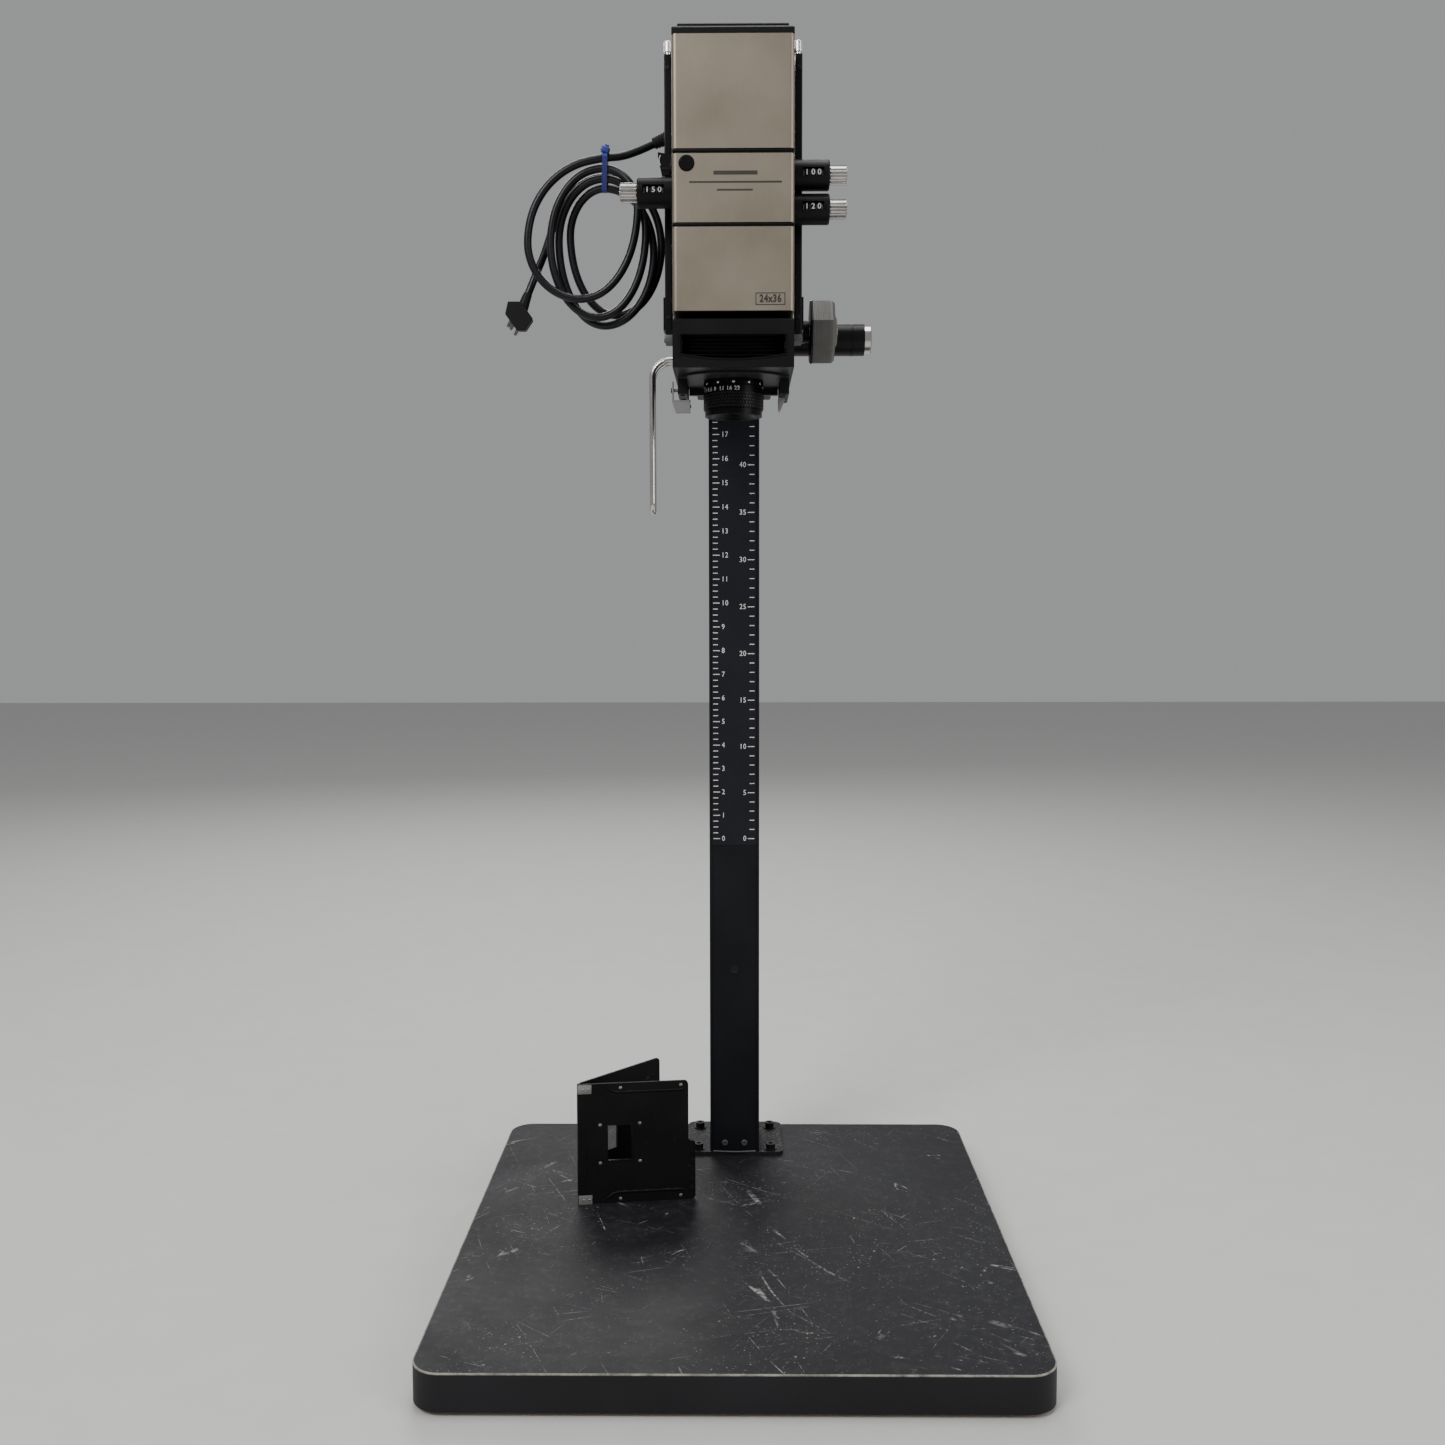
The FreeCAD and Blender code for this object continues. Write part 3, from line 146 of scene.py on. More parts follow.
def finish_material(name, light, dark, rough, metallic=0.0, grain=900.0, grain_depth=0.15, stretch=(1, 1, 1),
                    patch=18.0, scuffs=0.0, dust=0.0, specular=0.5):
    """A finish with slow tone patches, fine grain in the bump, and optional scuffs and settled dust."""
    mat, tree, shader = node_material(name)
    vector = tex_vector(tree)
    fine_vector = tex_vector(tree, stretch)
    slow = ramp(tree, noise(tree, vector, patch, 5.0), 0.3, 0.7)
    fine = noise(tree, fine_vector, grain, 3.0, 0.6)
    colour = mix_colour(tree, slow, dark, light)
    if scuffs:
        lines = noise(tree, tex_vector(tree, (1.0, 0.12, 1.0)), 160.0, 6.0, 0.7)
        colour = mix_colour(tree, ramp(tree, lines, 0.66, 0.74, 0.0, scuffs), colour, SCUFF_COLOUR)
    if dust:
        normal = tree.nodes.new("ShaderNodeNewGeometry")
        split = tree.nodes.new("ShaderNodeSeparateXYZ")
        tree.links.new(normal.outputs["Normal"], split.inputs["Vector"])
        up = ramp(tree, split.outputs["Z"], 0.6, 1.0)
        specks = ramp(tree, noise(tree, vector, 320.0, 8.0, 0.75), 0.52, 0.66, 0.0, dust)
        colour = mix_colour(tree, math_node(tree, "MULTIPLY", up, specks), colour, DUST_COLOUR)
    tree.links.new(colour, shader.inputs["Base Color"])
    shader.inputs["Metallic"].default_value = metallic
    shader.inputs["Specular IOR Level"].default_value = specular
    tree.links.new(ramp(tree, fine, 0.2, 0.8, rough - 0.06, rough + 0.08), shader.inputs["Roughness"])
    bump(tree, shader, fine, grain_depth)
    return mat


def clear_material(name, colour):
    mat, tree, shader = node_material(name)
    vector = tex_vector(tree)
    tint = mix_colour(tree, ramp(tree, noise(tree, vector, 60.0), 0.3, 0.7), colour,
                      tuple(c * 0.93 for c in colour))
    tree.links.new(tint, shader.inputs["Base Color"])
    shader.inputs["Roughness"].default_value = 0.03
    shader.inputs["Transmission Weight"].default_value = 1.0
    shader.inputs["IOR"].default_value = GLASS_IOR
    return mat


def board_material():
    """Black laminate: long scratches, pale flecks, settled dust, and light wear round the rim."""
    mat, tree, shader = node_material("laminate_worn")
    vector = tex_vector(tree)
    coord = tree.nodes.new("ShaderNodeTexCoord")
    split = tree.nodes.new("ShaderNodeSeparateXYZ")
    tree.links.new(coord.outputs["Object"], split.inputs["Vector"])
    corner = 0.025

    def beyond(socket, half):
        return math_node(tree, "SUBTRACT", math_node(tree, "ABSOLUTE", socket), half - corner)
    qx, qy = beyond(split.outputs["X"], 0.258), beyond(split.outputs["Y"], 0.272)
    ox, oy = math_node(tree, "MAXIMUM", qx, 0.0), math_node(tree, "MAXIMUM", qy, 0.0)
    outside = math_node(tree, "SQRT", math_node(tree, "ADD", math_node(tree, "MULTIPLY", ox, ox),
                                                math_node(tree, "MULTIPLY", oy, oy)))
    inside = math_node(tree, "MINIMUM", math_node(tree, "MAXIMUM", qx, qy), 0.0)
    rim = math_node(tree, "SUBTRACT", math_node(tree, "ADD", outside, inside), corner)
    high = ramp(tree, split.outputs["Z"], 0.0345, 0.0352)
    line = math_node(tree, "MULTIPLY", ramp(tree, rim, -0.0016, -0.0009), high)
    chips = ramp(tree, noise(tree, vector, 70.0, 6.0, 0.7), 0.35, 0.6, 0.25, 0.9)
    slow = ramp(tree, noise(tree, vector, 6.0, 6.0), 0.3, 0.7)
    colour = mix_colour(tree, slow, (0.0085, 0.0085, 0.0100), (0.0155, 0.0155, 0.0180))
    cloudy = ramp(tree, noise(tree, vector, 90.0, 8.0, 0.8), 0.50, 0.75, 0.0, 0.05)
    colour = mix_colour(tree, math_node(tree, "MULTIPLY", cloudy, high), colour, (0.5, 0.49, 0.47))
    for turn, across, patches, share in ((0.35, 34.0, 21.0, 0.50), (1.15, 42.0, 26.0, 0.40),
                                         (1.85, 38.0, 17.0, 0.46), (2.55, 46.0, 30.0, 0.38),
                                         (0.85, 28.0, 14.0, 0.34)):
        mapping = tree.nodes.new("ShaderNodeMapping")
        mapping.vector_type = "TEXTURE"
        mapping.inputs["Rotation"].default_value = (0, 0, turn)
        mapping.inputs["Scale"].default_value = (1.0, 14.0, 1.0)
        mapping.inputs["Location"].default_value = (turn * 3.7, turn * 1.9, 0)
        tree.links.new(coord.outputs["Object"], mapping.inputs["Vector"])
        field = noise(tree, mapping.outputs["Vector"], across, 0.6, 0.4)
        away = math_node(tree, "ABSOLUTE", math_node(tree, "SUBTRACT", field, 0.5))
        line_at = ramp(tree, away, 0.0, 0.0052, 1.0, 0.0)
        fade = ramp(tree, noise(tree, vector, patches, 3.0, 0.6), 0.55, 0.64)
        broken = ramp(tree, noise(tree, vector, 260.0, 2.0, 0.5), 0.38, 0.55)
        scratch = math_node(tree, "MULTIPLY", math_node(tree, "MULTIPLY", line_at, fade), broken)
        strong = math_node(tree, "MULTIPLY", math_node(tree, "MULTIPLY", scratch, high), share)
        colour = mix_colour(tree, strong, colour, (0.62, 0.61, 0.59))
    gather = ramp(tree, noise(tree, vector, 13.0, 4.0, 0.6), 0.42, 0.68)
    for size, low, share in ((420.0, 0.665, 0.55), (210.0, 0.70, 0.45)):
        flecks = ramp(tree, noise(tree, vector, size, 2.5, 0.6), low, low + 0.04, 0.0, share)
        shown = math_node(tree, "MULTIPLY", math_node(tree, "MULTIPLY", flecks, gather), high)
        colour = mix_colour(tree, shown, colour, (0.56, 0.55, 0.52))
    colour = mix_colour(tree, math_node(tree, "MULTIPLY", line, chips), colour, (0.36, 0.335, 0.29))
    tree.links.new(colour, shader.inputs["Base Color"])
    shader.inputs["Specular IOR Level"].default_value = 0.22
    haze = ramp(tree, noise(tree, vector, 11.0, 7.0, 0.65), 0.3, 0.72, 0.46, 0.62)
    tree.links.new(haze, shader.inputs["Roughness"])
    bump(tree, shader, noise(tree, vector, 240.0, 3.0), 0.05)
    return mat


def brushed_cover_material():
    """Warm satin silver: fine vertical brushing and thumb marks."""
    mat, tree, shader = node_material("cover_satin")
    vector = tex_vector(tree)
    streak = noise(tree, tex_vector(tree, (1.0, 1.0, 0.04)), 1400.0, 2.0, 0.5)
    clouds = ramp(tree, noise(tree, vector, 14.0, 6.0, 0.6), 0.25, 0.75)
    colour = mix_colour(tree, clouds, (0.265, 0.226, 0.176), (0.310, 0.266, 0.210))
    colour = mix_colour(tree, ramp(tree, streak, 0.3, 0.7, 0.0, 0.22), colour, (0.355, 0.308, 0.248))
    specks = ramp(tree, noise(tree, vector, 420.0, 2.0, 0.5), 0.74, 0.80, 0.0, 0.5)
    colour = mix_colour(tree, specks, colour, (0.16, 0.13, 0.10))
    tree.links.new(colour, shader.inputs["Base Color"])
    shader.inputs["Metallic"].default_value = 0.82
    tree.links.new(ramp(tree, clouds, 0.0, 1.0, 0.40, 0.50), shader.inputs["Roughness"])
    bump(tree, shader, streak, 0.05, 0.0002)
    return mat


def cord_material():
    return finish_material("cord_jacket", (0.0085, 0.0085, 0.0115), (0.0055, 0.0055, 0.0075), 0.32,
                           grain=700.0,
                           grain_depth=0.06, patch=30.0, specular=0.3)


def dark(*args, **options):
    """A black finish; they all share one low specular level."""
    return finish_material(*args, specular=DARK_SPECULAR, **options)


SATIN = brushed_cover_material()
BOARD = board_material()
MATS = {
    "board_core": finish_material("particle_board", (0.42, 0.31, 0.19), (0.3, 0.21, 0.12), 0.85,
                                  grain=240.0, grain_depth=0.6, patch=160.0),
    "black_laminate": BOARD,
    "black_rubber": dark("rubber_black", (0.024, 0.024, 0.0248), (0.0144, 0.0144, 0.0152), 0.62,
                         grain=1100.0, grain_depth=0.2),
    "black_anodised": dark("column_black", (0.015, 0.0155, 0.019), (0.011, 0.0112, 0.0135), 0.42, 0.25,
                           stretch=(1, 1, 0.03), grain_depth=0.05),
    "foot_black": dark("foot_enamel", (0.0208, 0.0208, 0.0216), (0.0136, 0.0136, 0.0144), 0.42,
                       grain=600.0, scuffs=0.25, dust=0.3),
    "bolt_black": finish_material("bolt_steel", (0.021, 0.021, 0.0222), (0.0108, 0.0108, 0.012), 0.38, 0.6,
                                  scuffs=0.4),
    "scale_black": dark("scale_strip", (0.0165, 0.017, 0.0215), (0.0135, 0.014, 0.018), 0.36, 0.0,
                        grain=1200.0, grain_depth=0.03),
    "frame_black": dark("frame_paint", (0.0102, 0.0102, 0.0108), (0.006, 0.006, 0.0066), 0.4, grain=1300.0,
                        grain_depth=0.22, scuffs=0.06, dust=0.06),
    "satin_silver": SATIN,
    "silver_bracket": dark("post_black", (0.0096, 0.0096, 0.0108), (0.006, 0.006, 0.0066), 0.33,
                           grain=800.0, grain_depth=0.06, scuffs=0.18),
    "nylon_white": finish_material("nylon", (0.75, 0.75, 0.72), (0.62, 0.62, 0.58), 0.5, grain=700.0),
    "spring_steel": finish_material("spring_steel", (0.42, 0.42, 0.43), (0.28, 0.28, 0.29), 0.32, 0.95,
                                    stretch=(0.05, 1, 1), scuffs=0.3),
    "bellows_black": dark("bellows_cloth", (0.012, 0.012, 0.0126), (0.0066, 0.0066, 0.0072), 0.7,
                          grain=1600.0, grain_depth=0.5),
    "grip_black": dark("grip_plastic", (0.0108, 0.0108, 0.0114), (0.0072, 0.0072, 0.0078), 0.3, grain=500.0,
                       grain_depth=0.05, scuffs=0.12),
    "chrome": finish_material("chrome_worn", (0.66, 0.64, 0.61), (0.55, 0.53, 0.5), 0.16, 1.0, grain=90.0,
                              grain_depth=0.004, patch=60.0),
    "knob_grey": finish_material("knob_grey", (0.19, 0.182, 0.17), (0.125, 0.12, 0.112), 0.5, 0.45,
                                 stretch=(1, 0.05, 0.05), grain=1500.0, grain_depth=0.12, scuffs=0.25),
    "steel": finish_material("turned_steel", (0.52, 0.52, 0.52), (0.4, 0.4, 0.41), 0.3, 1.0,
                             stretch=(1, 0.1, 0.1)),
    "stage_grey": dark("stage_grey", (0.03, 0.0304, 0.033), (0.02, 0.0204, 0.0224), 0.36, 0.3, grain=1000.0,
                       grain_depth=0.12, scuffs=0.12),
    "lens_black": dark("lens_black", (0.0084, 0.0084, 0.009), (0.0054, 0.0054, 0.006), 0.3, 0.4,
                       grain_depth=0.05, scuffs=0.1),
    "glass": clear_material("coated_glass", (0.86, 0.90, 0.98)),
    "latch_grey": finish_material("latch_grey", (0.2, 0.2, 0.2), (0.15, 0.15, 0.15), 0.45,
                                  grain_depth=0.1),
    "knob_black_chrome": finish_material("dial_chrome", (0.62, 0.6, 0.57), (0.44, 0.42, 0.4), 0.18, 1.0,
                                         grain=90.0, grain_depth=0.004, patch=80.0),
    "housing_black": dark("housing_plastic", (0.0096, 0.0096, 0.0102), (0.006, 0.006, 0.0066), 0.36,
                          dust=0.15),
    "filter_yellow": clear_material("filter_yellow", (0.95, 0.80, 0.10)),
    "filter_magenta": clear_material("filter_magenta", (0.85, 0.12, 0.50)),
    "filter_cyan": clear_material("filter_cyan", (0.08, 0.62, 0.78)),
    "lamp_silver": finish_material("reflector", (0.78, 0.78, 0.8), (0.66, 0.67, 0.72), 0.12, 0.9,
                                   grain=500.0, grain_depth=0.2),
    "diffuser_white": finish_material("diffuser", (0.88, 0.88, 0.86), (0.8, 0.8, 0.77), 0.7, grain=700.0),
    "cord_black": cord_material(),
    "tie_blue": finish_material("tie_blue", (0.02, 0.032, 0.27), (0.014, 0.022, 0.2), 0.35, grain=800.0,
                                grain_depth=0.08),
    "plug_black": dark("plug_rubber", (0.012, 0.012, 0.0132), (0.0078, 0.0078, 0.0084), 0.42,
                       grain_depth=0.12),
    "carrier_black": dark("carrier_enamel", (0.0132, 0.0132, 0.0144), (0.0084, 0.0084, 0.009), 0.34, 0.2,
                          grain=700.0, grain_depth=0.08, scuffs=0.22, dust=0.2),
    "button_black": dark("button_gloss", (0.0084, 0.0084, 0.009), (0.006, 0.006, 0.0066), 0.22, grain=600.0,
                         grain_depth=0.04),
}
INK_WHITE = finish_material("ink_white", (0.72, 0.72, 0.70), (0.58, 0.58, 0.56), 0.55)
INK_DARK = finish_material("ink_dark", (0.035, 0.028, 0.024), (0.022, 0.018, 0.016), 0.5)
TRIM_LIGHT = finish_material("trim_light", (0.42, 0.41, 0.39), (0.30, 0.29, 0.28), 0.35, 0.6, grain=700.0)
TRIM_GREY = finish_material("trim_grey", (0.13, 0.13, 0.13), (0.085, 0.085, 0.087), 0.42, 0.4, grain=700.0)
RIVET = finish_material("rivet_steel", (0.50, 0.49, 0.47), (0.34, 0.33, 0.32), 0.32, 0.9, grain=700.0)

SLOT_OF = {row["node"]: row["material_slot"] for row in frame["record"]["subparts"]}
for node_name, node_object in frame["nodes"].items():
    finish = MATS[SLOT_OF[node_name]]
    node_object.data.materials.clear()
    node_object.data.materials.append(finish)


# ---------------------------------------------------------------- mesh helpers (millimetres in)
def add_mesh(name, bm, material, body, smooth_deg=35.0):
    bmesh.ops.recalc_face_normals(bm, faces=bm.faces)
    mesh = bpy.data.meshes.new(name)
    bm.to_mesh(mesh)
    bm.free()
    mesh.materials.append(material)
    obj = bpy.data.objects.new(name, mesh)
    bpy.context.collection.objects.link(obj)
    if smooth_deg:
        mesh.shade_smooth()
        mesh.set_sharp_from_angle(angle=math.radians(smooth_deg))
    if body:
        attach(obj, body)
    return obj


def add_box(bm, lo, hi, bevel=0.0, segments=2, matrix=None):
    made = bmesh.ops.create_cube(bm, size=1.0)
    verts = made["verts"]
    size = [(b - a) * MM for a, b in zip(lo, hi)]
    middle = [(a + b) / 2 * MM for a, b in zip(lo, hi)]
    bmesh.ops.scale(bm, vec=size, verts=verts)
    bmesh.ops.translate(bm, vec=middle, verts=verts)
    if bevel:
        edges = list({e for v in verts for e in v.link_edges})
        out = bmesh.ops.bevel(bm, geom=edges, offset=bevel * MM, segments=segments, profile=0.6,
                              affect="EDGES", clamp_overlap=True)
        verts = list({v for f in out["faces"] for v in f.verts} | {v for v in verts if v.is_valid})
    if matrix is not None:
        bmesh.ops.transform(bm, matrix=matrix, verts=verts)
    return verts


def add_lathe(bm, profile, origin, axis, segments=40):
    """Turns (radius, along) pairs about an axis through origin."""
    turn = Vector((0, 0, 1)).rotation_difference(Vector(axis)).to_matrix().to_4x4()
    place = Matrix.Translation(Vector(origin) * MM) @ turn
    rings = []
    for radius, along in profile:
        if radius < 1e-6:
            rings.append([bm.verts.new(place @ Vector((0, 0, along * MM)))])
            continue
        ring = []
        for i in range(segments):
            a = 2 * math.pi * i / segments
            ring.append(bm.verts.new(place @ Vector((radius * MM * math.cos(a), radius * MM * math.sin(a),
                                                     along * MM))))
        rings.append(ring)
    for low, high in zip(rings, rings[1:]):
        for i in range(segments):
            j = (i + 1) % segments
            if len(low) == 1:
                bm.faces.new((low[0], high[j], high[i]))
            elif len(high) == 1:
                bm.faces.new((low[i], low[j], high[0]))
            else:
                bm.faces.new((low[i], low[j], high[j], high[i]))
    return rings


def add_sweep(bm, path, radii, segments=14):
    """Round tube through points, with its own radius at each point, closed at both ends."""
    points = [Vector(p) * MM for p in path]
    rings, normal = [], None
    for i, point in enumerate(points):
        ahead = points[min(i + 1, len(points) - 1)] - points[max(i - 1, 0)]
        ahead.normalize()
        if normal is None:
            normal = ahead.orthogonal().normalized()
        normal = (normal - ahead * normal.dot(ahead)).normalized()
        side = ahead.cross(normal)
        ring = [bm.verts.new(point + (normal * math.cos(a) + side * math.sin(a)) * radii[i] * MM)
                for a in [2 * math.pi * k / segments for k in range(segments)]]
        rings.append(ring)
    for low, high in zip(rings, rings[1:]):
        for k in range(segments):
            bm.faces.new((low[k], low[(k + 1) % segments], high[(k + 1) % segments], high[k]))
    bm.faces.new(list(reversed(rings[0])))
    bm.faces.new(rings[-1])
    return rings


def glyph_mesh(text, size_mm, align="CENTER", depth_mm=0.08, bold=0.0):
    """Flat raised characters in the XY plane, facing +Z, centred on the origin."""
    data = bpy.data.curves.new("glyphs", "FONT")
    data.body = text
    data.size = size_mm * MM
    data.extrude = depth_mm * MM / 2
    data.offset = bold * MM
    data.space_character = 1.14
    data.align_x = align
    data.align_y = "CENTER"
    data.resolution_u = 3
    holder = bpy.data.objects.new("glyphs", data)
    mesh = bpy.data.meshes.new_from_object(holder)
    bpy.data.objects.remove(holder)
    bpy.data.curves.remove(data)
    return mesh


def add_glyphs(bm, text, size_mm, matrix, align="CENTER", depth_mm=0.08, bold=0.0):
    mesh = glyph_mesh(text, size_mm, align, depth_mm, bold)
    before = set(bm.verts)
    bm.from_mesh(mesh)
    bpy.data.meshes.remove(mesh)
    bmesh.ops.transform(bm, matrix=matrix, verts=[v for v in bm.verts if v not in before])


def facing_front(x, y, z):
    """Puts a flat shape at a point in millimetres so that it faces -Y."""
    return Matrix.Translation(Vector((x, y, z)) * MM) @ Matrix.Rotation(math.pi / 2, 4, "X")


# ---------------------------------------------------------------- mains cord (metres)
CORD_D = 0.0073
LEAD = [(-0.0532, 0.0150, 1.0750), (-0.0715, 0.0140, 1.0672), (-0.0880, 0.0115, 1.0590),
        (-0.1040, 0.0090, 1.0530)]
TOPS = [(-0.1195, 0.0050, 1.0513), (-0.1230, 0.0095, 1.0437), (-0.1210, 0.0150, 1.0361),
        (-0.1200, 0.0205, 1.0287), (-0.1200, 0.0255, 1.0410)]
LEFTS = [(-0.1920, 0.0030, 0.9750), (-0.1715, 0.0108, 0.9750), (-0.1645, 0.0186, 0.9780),
         (-0.1545, 0.0263, 0.9850)]
BOTTOMS = [(-0.1410, 0.0030, 0.9215), (-0.1270, 0.0108, 0.9060), (-0.1215, 0.0186, 0.8998),
           (-0.1110, 0.0263, 0.9110)]
RIGHTS = [(-0.0880, 0.0034, 1.0050), (-0.0810, 0.0108, 0.9850), (-0.0740, 0.0186, 0.9680),
          (-0.0672, 0.0263, 0.9770)]
TAIL = [(-0.1200, 0.0255, 1.0410), (-0.1410, 0.0258, 1.0355), (-0.1580, 0.0260, 1.0190),
        (-0.1700, 0.0260, 0.9960), (-0.1775, 0.0255, 0.9710), (-0.1880, 0.0205, 0.9450),
        (-0.1990, 0.0145, 0.9150)]


QUARTER_STEPS = 4


def quarter_turn(start, end, upright_first):
    """Quarter of an oval from one extreme of a turn to the next, without its end point."""
    points = []
    for i in range(QUARTER_STEPS):
        swing = math.pi / 2 * i / QUARTER_STEPS
        ease = (1 - math.cos(math.pi * i / QUARTER_STEPS)) / 2
        near, far = math.sin(swing), math.cos(swing)
        if upright_first:
            x, z = end[0] + (start[0] - end[0]) * far, start[2] + (end[2] - start[2]) * near
        else:
            x, z = start[0] + (end[0] - start[0]) * near, end[2] + (start[2] - end[2]) * far
        points.append((x, start[1] + (end[1] - start[1]) * ease, z))
    return points


def cord_points():
    points = list(LEAD)
    for turn in range(4):
        points += quarter_turn(TOPS[turn], LEFTS[turn], False)
        points += quarter_turn(LEFTS[turn], BOTTOMS[turn], True)
        points += quarter_turn(BOTTOMS[turn], RIGHTS[turn], False)
        points += quarter_turn(RIGHTS[turn], TOPS[turn + 1], True)
    return points + TAIL


def spline_length(points):
    """Length of the quadratic spline that has these control points, in metres."""
    total, last = 0.0, None
    count = len(points)
    for i in range(1, count - 1):
        a = points[0] if i == 1 else (points[i - 1] + points[i]) / 2
        b = points[-1] if i == count - 2 else (points[i] + points[i + 1]) / 2
        for step in range(17):
            t = step / 16
            p = a * (1 - t) ** 2 + points[i] * 2 * t * (1 - t) + b * t ** 2
            total += (p - last).length if last is not None else 0.0
            last = p
    return total


def make_cord():
    points = cord_points()
    data = bpy.data.curves.new("cord", "CURVE")
    data.dimensions = "3D"
    data.bevel_depth = CORD_D / 2
    data.bevel_resolution = 6
    data.resolution_u = 8
    data.use_fill_caps = True
    spline = data.splines.new("NURBS")
    spline.points.add(len(points) - 1)
    for target, p in zip(spline.points, points):
        target.co = (*p, 1.0)
    spline.order_u = 3
    spline.use_endpoint_u = True
    data.materials.append(MATS["cord_black"])
    cord = bpy.data.objects.new("mains_cord", data)
    bpy.context.collection.objects.link(cord)
    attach(cord, "lamphouse")
    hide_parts("cord_lead", "cord_coil", "cord_tail")
    return cord, spline_length([Vector(p) for p in points])


def make_tie():
    """Band that hugs the bundle, its ratchet head and its clipped end."""
    bm = bmesh.new()
    wide, thick, steps = 2.4, 1.1, 64
    centres = [(p[1] / MM, p[2] / MM) for p in TOPS]
    radius = CORD_D / MM / 2 + 0.25
    rows = []
    for i in range(steps):
        a = 2 * math.pi * i / steps
        d = (math.cos(a), math.sin(a))
        y, z = max(centres, key=lambda c: c[0] * d[0] + c[1] * d[1])
        # Between two strands the band runs straight, so its points follow the bundle's outline.
        inner = (y + d[0] * radius, z + d[1] * radius)
        outer = (y + d[0] * (radius + thick), z + d[1] * (radius + thick))
        lean = (z - 1041.0) * 0.10
        row = [bm.verts.new(Vector((TIE_X + lean + side, q[0], q[1])) * MM)
               for side, q in ((-wide, inner), (wide, inner), (wide, outer), (-wide, outer))]
        rows.append(row)
    for i in range(steps):
        a, b = rows[i], rows[(i + 1) % steps]
        for k in range(4):
            bm.faces.new((a[k], a[(k + 1) % 4], b[(k + 1) % 4], b[k]))
    head_at = Matrix.Translation(Vector((TIE_X + 1.4, 3.2, 1057.4)) * MM) @ Matrix.Rotation(0.35, 4, "Y")
    add_box(bm, (-3.9, -3.2, -2.6), (3.9, 3.2, 2.6), 0.9, 3, head_at)
    add_box(bm, (-2.2, -1.0, 2.2), (2.2, 0.6, 5.0), 0.4, 2, head_at)
    tie = add_mesh("cord_tie_band", bm, MATS["tie_blue"], "lamphouse", 50)
    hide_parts("cord_tie")
    return tie


def make_plug():
    """Angular moulded body with a parting line, a collar on the cord and three metal pins."""
    outline = [(-210.8, 922.0), (-199.1, 922.0), (-187.6, 906.1), (-195.1, 895.3), (-202.8, 895.3),
               (-213.6, 910.4)]
    middle = [sum(p[i] for p in outline) / len(outline) for i in (0, 1)]
    front, back = 7.0, 23.0
    corner_share = 0.045
    corners = []
    for i, (x, z) in enumerate(outline):
        for other in (outline[i - 1], outline[(i + 1) % len(outline)]):
            corners.append((x + (other[0] - x) * corner_share, z + (other[1] - z) * corner_share))
    layers = ((front, 0.95), (front + 0.4, 0.98), (front + 1.0, 1.0), (front + 7.4, 0.965),
              (front + 7.7, 0.94), (front + 8.2, 0.94), (front + 8.5, 0.96), (back - 1.2, 0.905),
              (back, 0.83))
    bm = bmesh.new()
    rings = []
    for y, size in layers:
        rings.append([bm.verts.new(Vector((middle[0] + (x - middle[0]) * size, y,
                                           middle[1] + (z - middle[1]) * size)) * MM) for x, z in corners])
    for low, high in zip(rings, rings[1:]):
        for i in range(len(corners)):
            j = (i + 1) % len(corners)
            bm.faces.new((low[i], low[j], high[j], high[i]))
    bm.faces.new(list(reversed(rings[0])))
    bm.faces.new(rings[-1])
    collar = [(-193.4, 17.6, 930.5), (-195.6, 16.4, 924.3), (-197.6, 15.3, 918.5), (-199.4, 14.4, 913.5)]
    add_sweep(bm, collar, [4.1, 4.6, 5.2, 5.4], 24)
    plug = add_mesh("plug_body", bm, MATS["plug_black"], "lamphouse", 25)
    pins = bmesh.new()
    for start in ((-206.6, 9.9, 908.4), (-204.1, 9.9, 905.8), (-200.1, 9.9, 900.7)):
        add_lathe(pins, [(0, 0), (1.6, 0), (1.6, 12.6), (1.3, 13.5), (0.7, 14.0), (0, 14.0)], start,
                  (-0.45, 0.72, -0.53), 24)
    pin_piece = add_mesh("plug_pins", pins, TRIM_GREY, "lamphouse", 40)
    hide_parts("plug")
    return plug, pin_piece


def make_relief():
    """Ribbed sleeve that tapers from the lamphouse wall along the first run of the cord."""
    bm = bmesh.new()
    start, second = Vector(LEAD[0]) / MM, Vector(LEAD[1]) / MM
    bore = CORD_D / MM / 2 - 0.2
    out = (second - start).normalized()
    profile = [(bore, 0.4), (7.6, 0.4), (7.8, 1.0), (7.8, 2.6), (7.2, 3.2)]
    along = 3.6
    while along < 20.5:
        size = 7.0 - along * 0.085
        profile += [(size, along), (size, along + 1.5), (size - 0.8, along + 1.8), (size - 0.8, along + 2.5)]
        along += 2.8
    profile += [(bore + 1.4, 21.2), (bore, 21.4)]
    add_lathe(bm, profile, start, out, 36)
    relief = add_mesh("relief_sleeve", bm, MATS["black_rubber"], "lamphouse", 30)
    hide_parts("strain_relief")
    return relief


TIE_X = -119.5
cord_piece, cord_length = make_cord()
tie_piece = make_tie()
plug_piece, pin_piece = make_plug()
relief_piece = make_relief()


